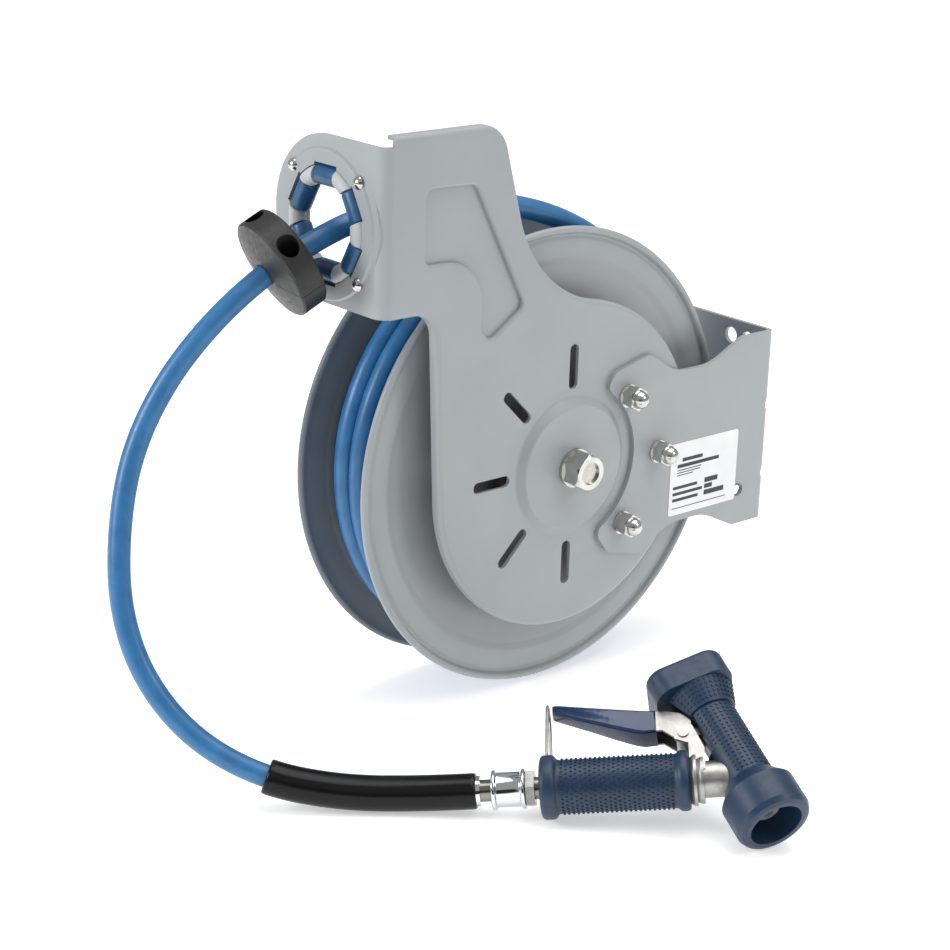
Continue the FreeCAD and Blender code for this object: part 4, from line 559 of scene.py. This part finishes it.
roller_plastic = new_material("blue_roller_plastic", (0.010, 0.115, 0.28), 0.4, coat=0.15)
two_tone(roller_plastic, noise(roller_plastic, 120, 3),
         (0.006, 0.068, 0.170), (0.009, 0.092, 0.225))
vary_roughness(roller_plastic, spread(roller_plastic, noise(roller_plastic, 400, 2), 0.34, 0.5))
bump(roller_plastic, noise(roller_plastic, 1100, 2), 0.00008, 0.5)
ROLLER_PROFILE = [
    (-12, 2.05), (-12, 6.6), (-11.7, 7.4), (-11, 7.9), (-10.2, 8), (10.2, 8), (11, 7.9),
    (11.7, 7.4), (12, 6.6), (12, 2.05),
]
RING_CENTRE = (0, -186, 203)
RING_RADIUS = 35
ROLLER_COUNT = 6
to_ring = Matrix.Translation(reel_point(*RING_CENTRE))
lift = Matrix.Translation((0, 0, RING_RADIUS * MM))
for index in range(ROLLER_COUNT):
    angle = math.radians(30 + 360 / ROLLER_COUNT * index)
    turn = Matrix.Rotation(math.pi / 2 - angle, 4, "Y")
    name = "roller_%d" % (index + 1)
    finish_mesh("guide_" + name, lathe(ROLLER_PROFILE, 64), name, roller_plastic, (name,),
                to_ring @ turn @ lift, 40)

# ---------------------------------------------------------------------------------------------
# Hose stop: two black moulded halves clamped round the hose by screws down two round wells. It
# is too big for the rollers, so the hose stops here when it rewinds.
# ---------------------------------------------------------------------------------------------
stop_plastic = new_material("black_moulding", (0.016, 0.0165, 0.017), 0.34)
two_tone(stop_plastic, noise(stop_plastic, 90, 3), (0.008, 0.0083, 0.0088), (0.013, 0.0134, 0.014))
vary_roughness(stop_plastic, spread(stop_plastic, noise(stop_plastic, 300, 3), 0.36, 0.54))
bump(stop_plastic, noise(stop_plastic, 1200, 2), 0.00012, 0.6)
finish_node(stop_plastic, "bumper_upper", "bumper_lower")
finish_node(black_rubber, "manifold_seals", "swivel_seal", "valve_seal")

# ---------------------------------------------------------------------------------------------
# Swivel: a chrome plated coupling between the hose and the gun, with a rolled bead at each end,
# the chrome ferrule behind it, and the gun's hexagon and the hose's nipple in dull nickel.
# ---------------------------------------------------------------------------------------------
chrome = new_material("chrome_plate", (0.62, 0.63, 0.64), 0.07, metal=1.0)
vary_roughness(chrome, spread(chrome, noise(chrome, 160, 3), 0.05, 0.13))
SWIVEL_PROFILE = [
    (-35, 8), (-35, 13.2), (-34.6, 13.9), (-33.9, 14.3), (-32.7, 14.3), (-32, 13.9),
    (-31.6, 13.2), (-31.3, 12.7), (-30.8, 12.5), (-14.7, 12.5), (-14.2, 12.7), (-13.9, 13.2),
    (-13.5, 13.9), (-12.8, 14.3), (-11.6, 14.3), (-10.9, 13.9), (-10.5, 13.2), (-10.5, 7.05),
    (-27, 7.05), (-27, 8),
]
swivel = finish_mesh("swivel", lathe(SWIVEL_PROFILE, 96), "frame", chrome, ("swivel_body",),
                     GUN_PLACE, 40)
finish_node(chrome, "hose_ferrule")
nickel = new_material("dull_nickel", (0.22, 0.22, 0.21), 0.22, metal=1.0)
two_tone(nickel, noise(nickel, 110, 2), (0.19, 0.19, 0.18), (0.25, 0.25, 0.24))
vary_roughness(nickel, spread(nickel, noise(nickel, 260, 2), 0.16, 0.28))
finish_node(nickel, "swivel_nut", "hose_nipple")

# ---------------------------------------------------------------------------------------------
# Gun body: blasted stainless tube, barrel, nozzle, valve, trigger lever and its pivot. They keep
# their shapes, with a fine even grain from the blasting.
# ---------------------------------------------------------------------------------------------
gun_steel = new_material("blasted_stainless", (0.42, 0.41, 0.39), 0.4, metal=1.0)
two_tone(gun_steel, noise(gun_steel, 200, 3), (0.38, 0.375, 0.35), (0.46, 0.45, 0.43))
vary_roughness(gun_steel, spread(gun_steel, noise(gun_steel, 600, 3), 0.34, 0.46))
bump(gun_steel, noise(gun_steel, 1500, 2), 0.00006, 0.5)
finish_node(gun_steel, "gun_body", "nozzle_tip", "trigger_lever", "lever_pivot", "valve_stem",
            "valve_spring")

# ---------------------------------------------------------------------------------------------
# Grip: a navy rubber sleeve on the gun's tube, with a flange at the hose end, a bead at the
# other, and rows of small four-sided studs moulded between them.
# ---------------------------------------------------------------------------------------------
gun_rubber = new_material("navy_rubber", (0.007, 0.027, 0.068), 0.4)
two_tone(gun_rubber, noise(gun_rubber, 70, 3), (0.006, 0.024, 0.060), (0.009, 0.031, 0.076))
vary_roughness(gun_rubber, spread(gun_rubber, noise(gun_rubber, 260, 3), 0.36, 0.50))
bump(gun_rubber, noise(gun_rubber, 1300, 2), 0.0001, 0.5)
GRIP_PROFILE = [
    (0, 11), (0, 19.5), (0.5, 21.2), (1.7, 22.4), (3.2, 22.9), (8.6, 22.9), (10, 22.4),
    (11, 21.4), (11.8, 20.0), (13, 19.3), (14.5, 19.1), (95, 19.1), (96.8, 19.4), (98, 20.4),
    (99.2, 21.3), (101, 21.6), (103, 21.6), (104.8, 21.1), (105.7, 20.2), (106, 19), (106, 16.6),
    (104, 11),
]
STUD_RADIUS = 1.45
STUD_HEIGHT = 0.9
STUD_ROOT = 0.6
STUD_TAPER = 0.62
SQUARE_ON = Matrix.Rotation(math.radians(45), 4, "Z")


def add_stud(bm, place, outward):
    """One blunt stud on a surface, four-sided and square to the rows."""
    turn = outward.to_track_quat("Z", "X").to_matrix().to_4x4() @ SQUARE_ON
    middle = place + outward * (STUD_HEIGHT - STUD_ROOT) / 2
    bmesh.ops.create_cone(bm, segments=4, radius1=STUD_RADIUS, radius2=STUD_RADIUS * STUD_TAPER,
                          depth=STUD_HEIGHT + STUD_ROOT, cap_ends=True, cap_tris=False,
                          matrix=Matrix.Translation(middle) @ turn)


GRIP_ROWS = 24
GRIP_ROUND = 34
GRIP_FIRST_ROW = 16
GRIP_LAST_ROW = 93.5
GRIP_SURFACE = 19.1
grip = lathe(GRIP_PROFILE, 96)
for row in range(GRIP_ROWS):
    along = GRIP_FIRST_ROW + row * (GRIP_LAST_ROW - GRIP_FIRST_ROW) / (GRIP_ROWS - 1)
    for i in range(GRIP_ROUND):
        angle = 2 * math.pi * (i + 0.5 * (row % 2)) / GRIP_ROUND
        outward = Vector((0, math.cos(angle), math.sin(angle)))
        add_stud(grip, Vector((along, 0, 0)) + outward * GRIP_SURFACE, outward)
finish_mesh("grip", grip, "gun", gun_rubber, ("grip_sleeve",), GUN_PLACE, 40)

# ---------------------------------------------------------------------------------------------
# Boot: one rubber moulding over the barrel, with a square block behind, a studded waist and a
# thick ring round the nozzle. The studs are moulded on in straight rows.
# ---------------------------------------------------------------------------------------------
BARREL_CROSSING = 146
BARREL_TURN = math.radians(66.2)
BARREL_PLACE = (
    GUN_PLACE @ Matrix.Translation((BARREL_CROSSING * MM, 0, 0))
    @ Matrix.Rotation(BARREL_TURN, 4, "Y")
)
WAIST_RADIUS = 18.3
WAIST_ROUND = 30
WAIST_ROWS = 18
WAIST_FIRST_ROW = -55
WAIST_PITCH = 3.5
FLARE_ROUND = 38
FLARE_ROWS = 5
FLARE_FIRST_ROW = -61.5
FLARE_PITCH = 3.3
STUD_SINK = 0.1
finish_node(gun_rubber, "gun_boot")
studs = bmesh.new()
for row in range(WAIST_ROWS):
    along = WAIST_FIRST_ROW + row * WAIST_PITCH
    for i in range(WAIST_ROUND):
        angle = 2 * math.pi * i / WAIST_ROUND
        outward = Vector((0, math.cos(angle), math.sin(angle)))
        # none over the lever's window or the neck
        in_window = outward.z < -0.6 and along < -22
        on_neck = outward.z < 0 and along > -24 and abs(outward.y) < 0.85
        if not in_window and not on_neck:
            add_stud(studs, Vector((along, 0, 0)) + outward * (WAIST_RADIUS - STUD_SINK), outward)
for row in range(FLARE_ROWS):
    # the flare widens from the waist, 20 mm in radius, to 26.5 mm at the block
    along = FLARE_FIRST_ROW - row * FLARE_PITCH
    flare = 26.5 - (along + 76) * 6.5 / 18
    for i in range(FLARE_ROUND):
        angle = 2 * math.pi * i / FLARE_ROUND
        outward = Vector((0.34, 0.94 * math.cos(angle), 0.94 * math.sin(angle)))
        place = Vector((along, flare * math.cos(angle), flare * math.sin(angle)))
        if place.z > -9 or abs(place.y) > 14:
            add_stud(studs, place - outward * STUD_SINK, outward)
finish_mesh("boot_studs", studs, "gun", gun_rubber, (), BARREL_PLACE, 40)

# ---------------------------------------------------------------------------------------------
# Lever cover: glossy blue vinyl dipped over the lever's handle, thick and round at its edges. It is
# narrow at the lever's free end and widens towards the pivot.
# ---------------------------------------------------------------------------------------------
lever_vinyl = new_material("blue_vinyl", (0.004, 0.018, 0.11), 0.16, coat=0.3, coat_rough=0.08)
two_tone(lever_vinyl, noise(lever_vinyl, 60, 2), (0.003, 0.017, 0.070), (0.005, 0.027, 0.100))
bump(lever_vinyl, noise(lever_vinyl, 90, 2), 0.0008, 0.5)
LEVER_OUTLINE = [
    (8.2, 67.2), (10, 68), (14, 67.6), (20, 66.4), (34, 63.6), (48, 60.9), (62, 58.2), (75, 55.9),
    (84, 55.1), (84, 36.9), (75, 36.1), (69, 37.2), (63, 39.2), (52, 43.2), (40, 48.1),
    (28, 52.6), (16, 57.1), (11, 59), (8.4, 60.6),
]
VINYL_ROUND = 2.2
TIP_HALF_WIDTH = 5.2
PIVOT_HALF_WIDTH = 10.4
TAPER_FROM = 9
TAPER_LENGTH = 67
cover = bmesh.new()
near_face = cover.faces.new([cover.verts.new((x, -1, z)) for x, z in LEVER_OUTLINE])
pushed = bmesh.ops.extrude_face_region(cover, geom=[near_face])
moved = [v for v in pushed["geom"] if isinstance(v, bmesh.types.BMVert)]
bmesh.ops.translate(cover, vec=(0, 2, 0), verts=moved)
for vert in cover.verts:
    share = min(1.0, max(0.0, (vert.co.x - TAPER_FROM) / TAPER_LENGTH))
    vert.co.y *= TIP_HALF_WIDTH + (PIVOT_HALF_WIDTH - TIP_HALF_WIDTH) * share
rims = [e for e in cover.edges if e.verts[0].co.y * e.verts[1].co.y > 0]
bmesh.ops.bevel(cover, geom=rims, offset=VINYL_ROUND, segments=5, profile=0.5,
                affect="EDGES", material=-1)
finish_mesh("lever_vinyl_cover", cover, "lever", lever_vinyl, ("lever_cover",),
            GUN_PLACE, 45)

# ---------------------------------------------------------------------------------------------
# Lock bail: a bent steel wire hinged in the grip's flange. It swings over the lever's free end to
# hold the lever shut.
# ---------------------------------------------------------------------------------------------
BAIL_HALF = [
    (6, 13, 15), (6, 17.5, 15), (6, 19, 15.4), (6, 19, 19), (5.6, 15, 40), (5.4, 10.6, 60),
    (5.2, 7.5, 65.5), (5.2, 3, 67),
]
BAIL_WIRE = 1.25
bail_points = BAIL_HALF + [(x, -y, z) for x, y, z in reversed(BAIL_HALF)]
bail = smooth_line("bail", [GUN_PLACE @ (Vector(p) * MM) for p in bail_points], BAIL_WIRE, 10)
bail.data.materials.append(gun_steel)
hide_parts("lock_bail")
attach(bail, "bail")
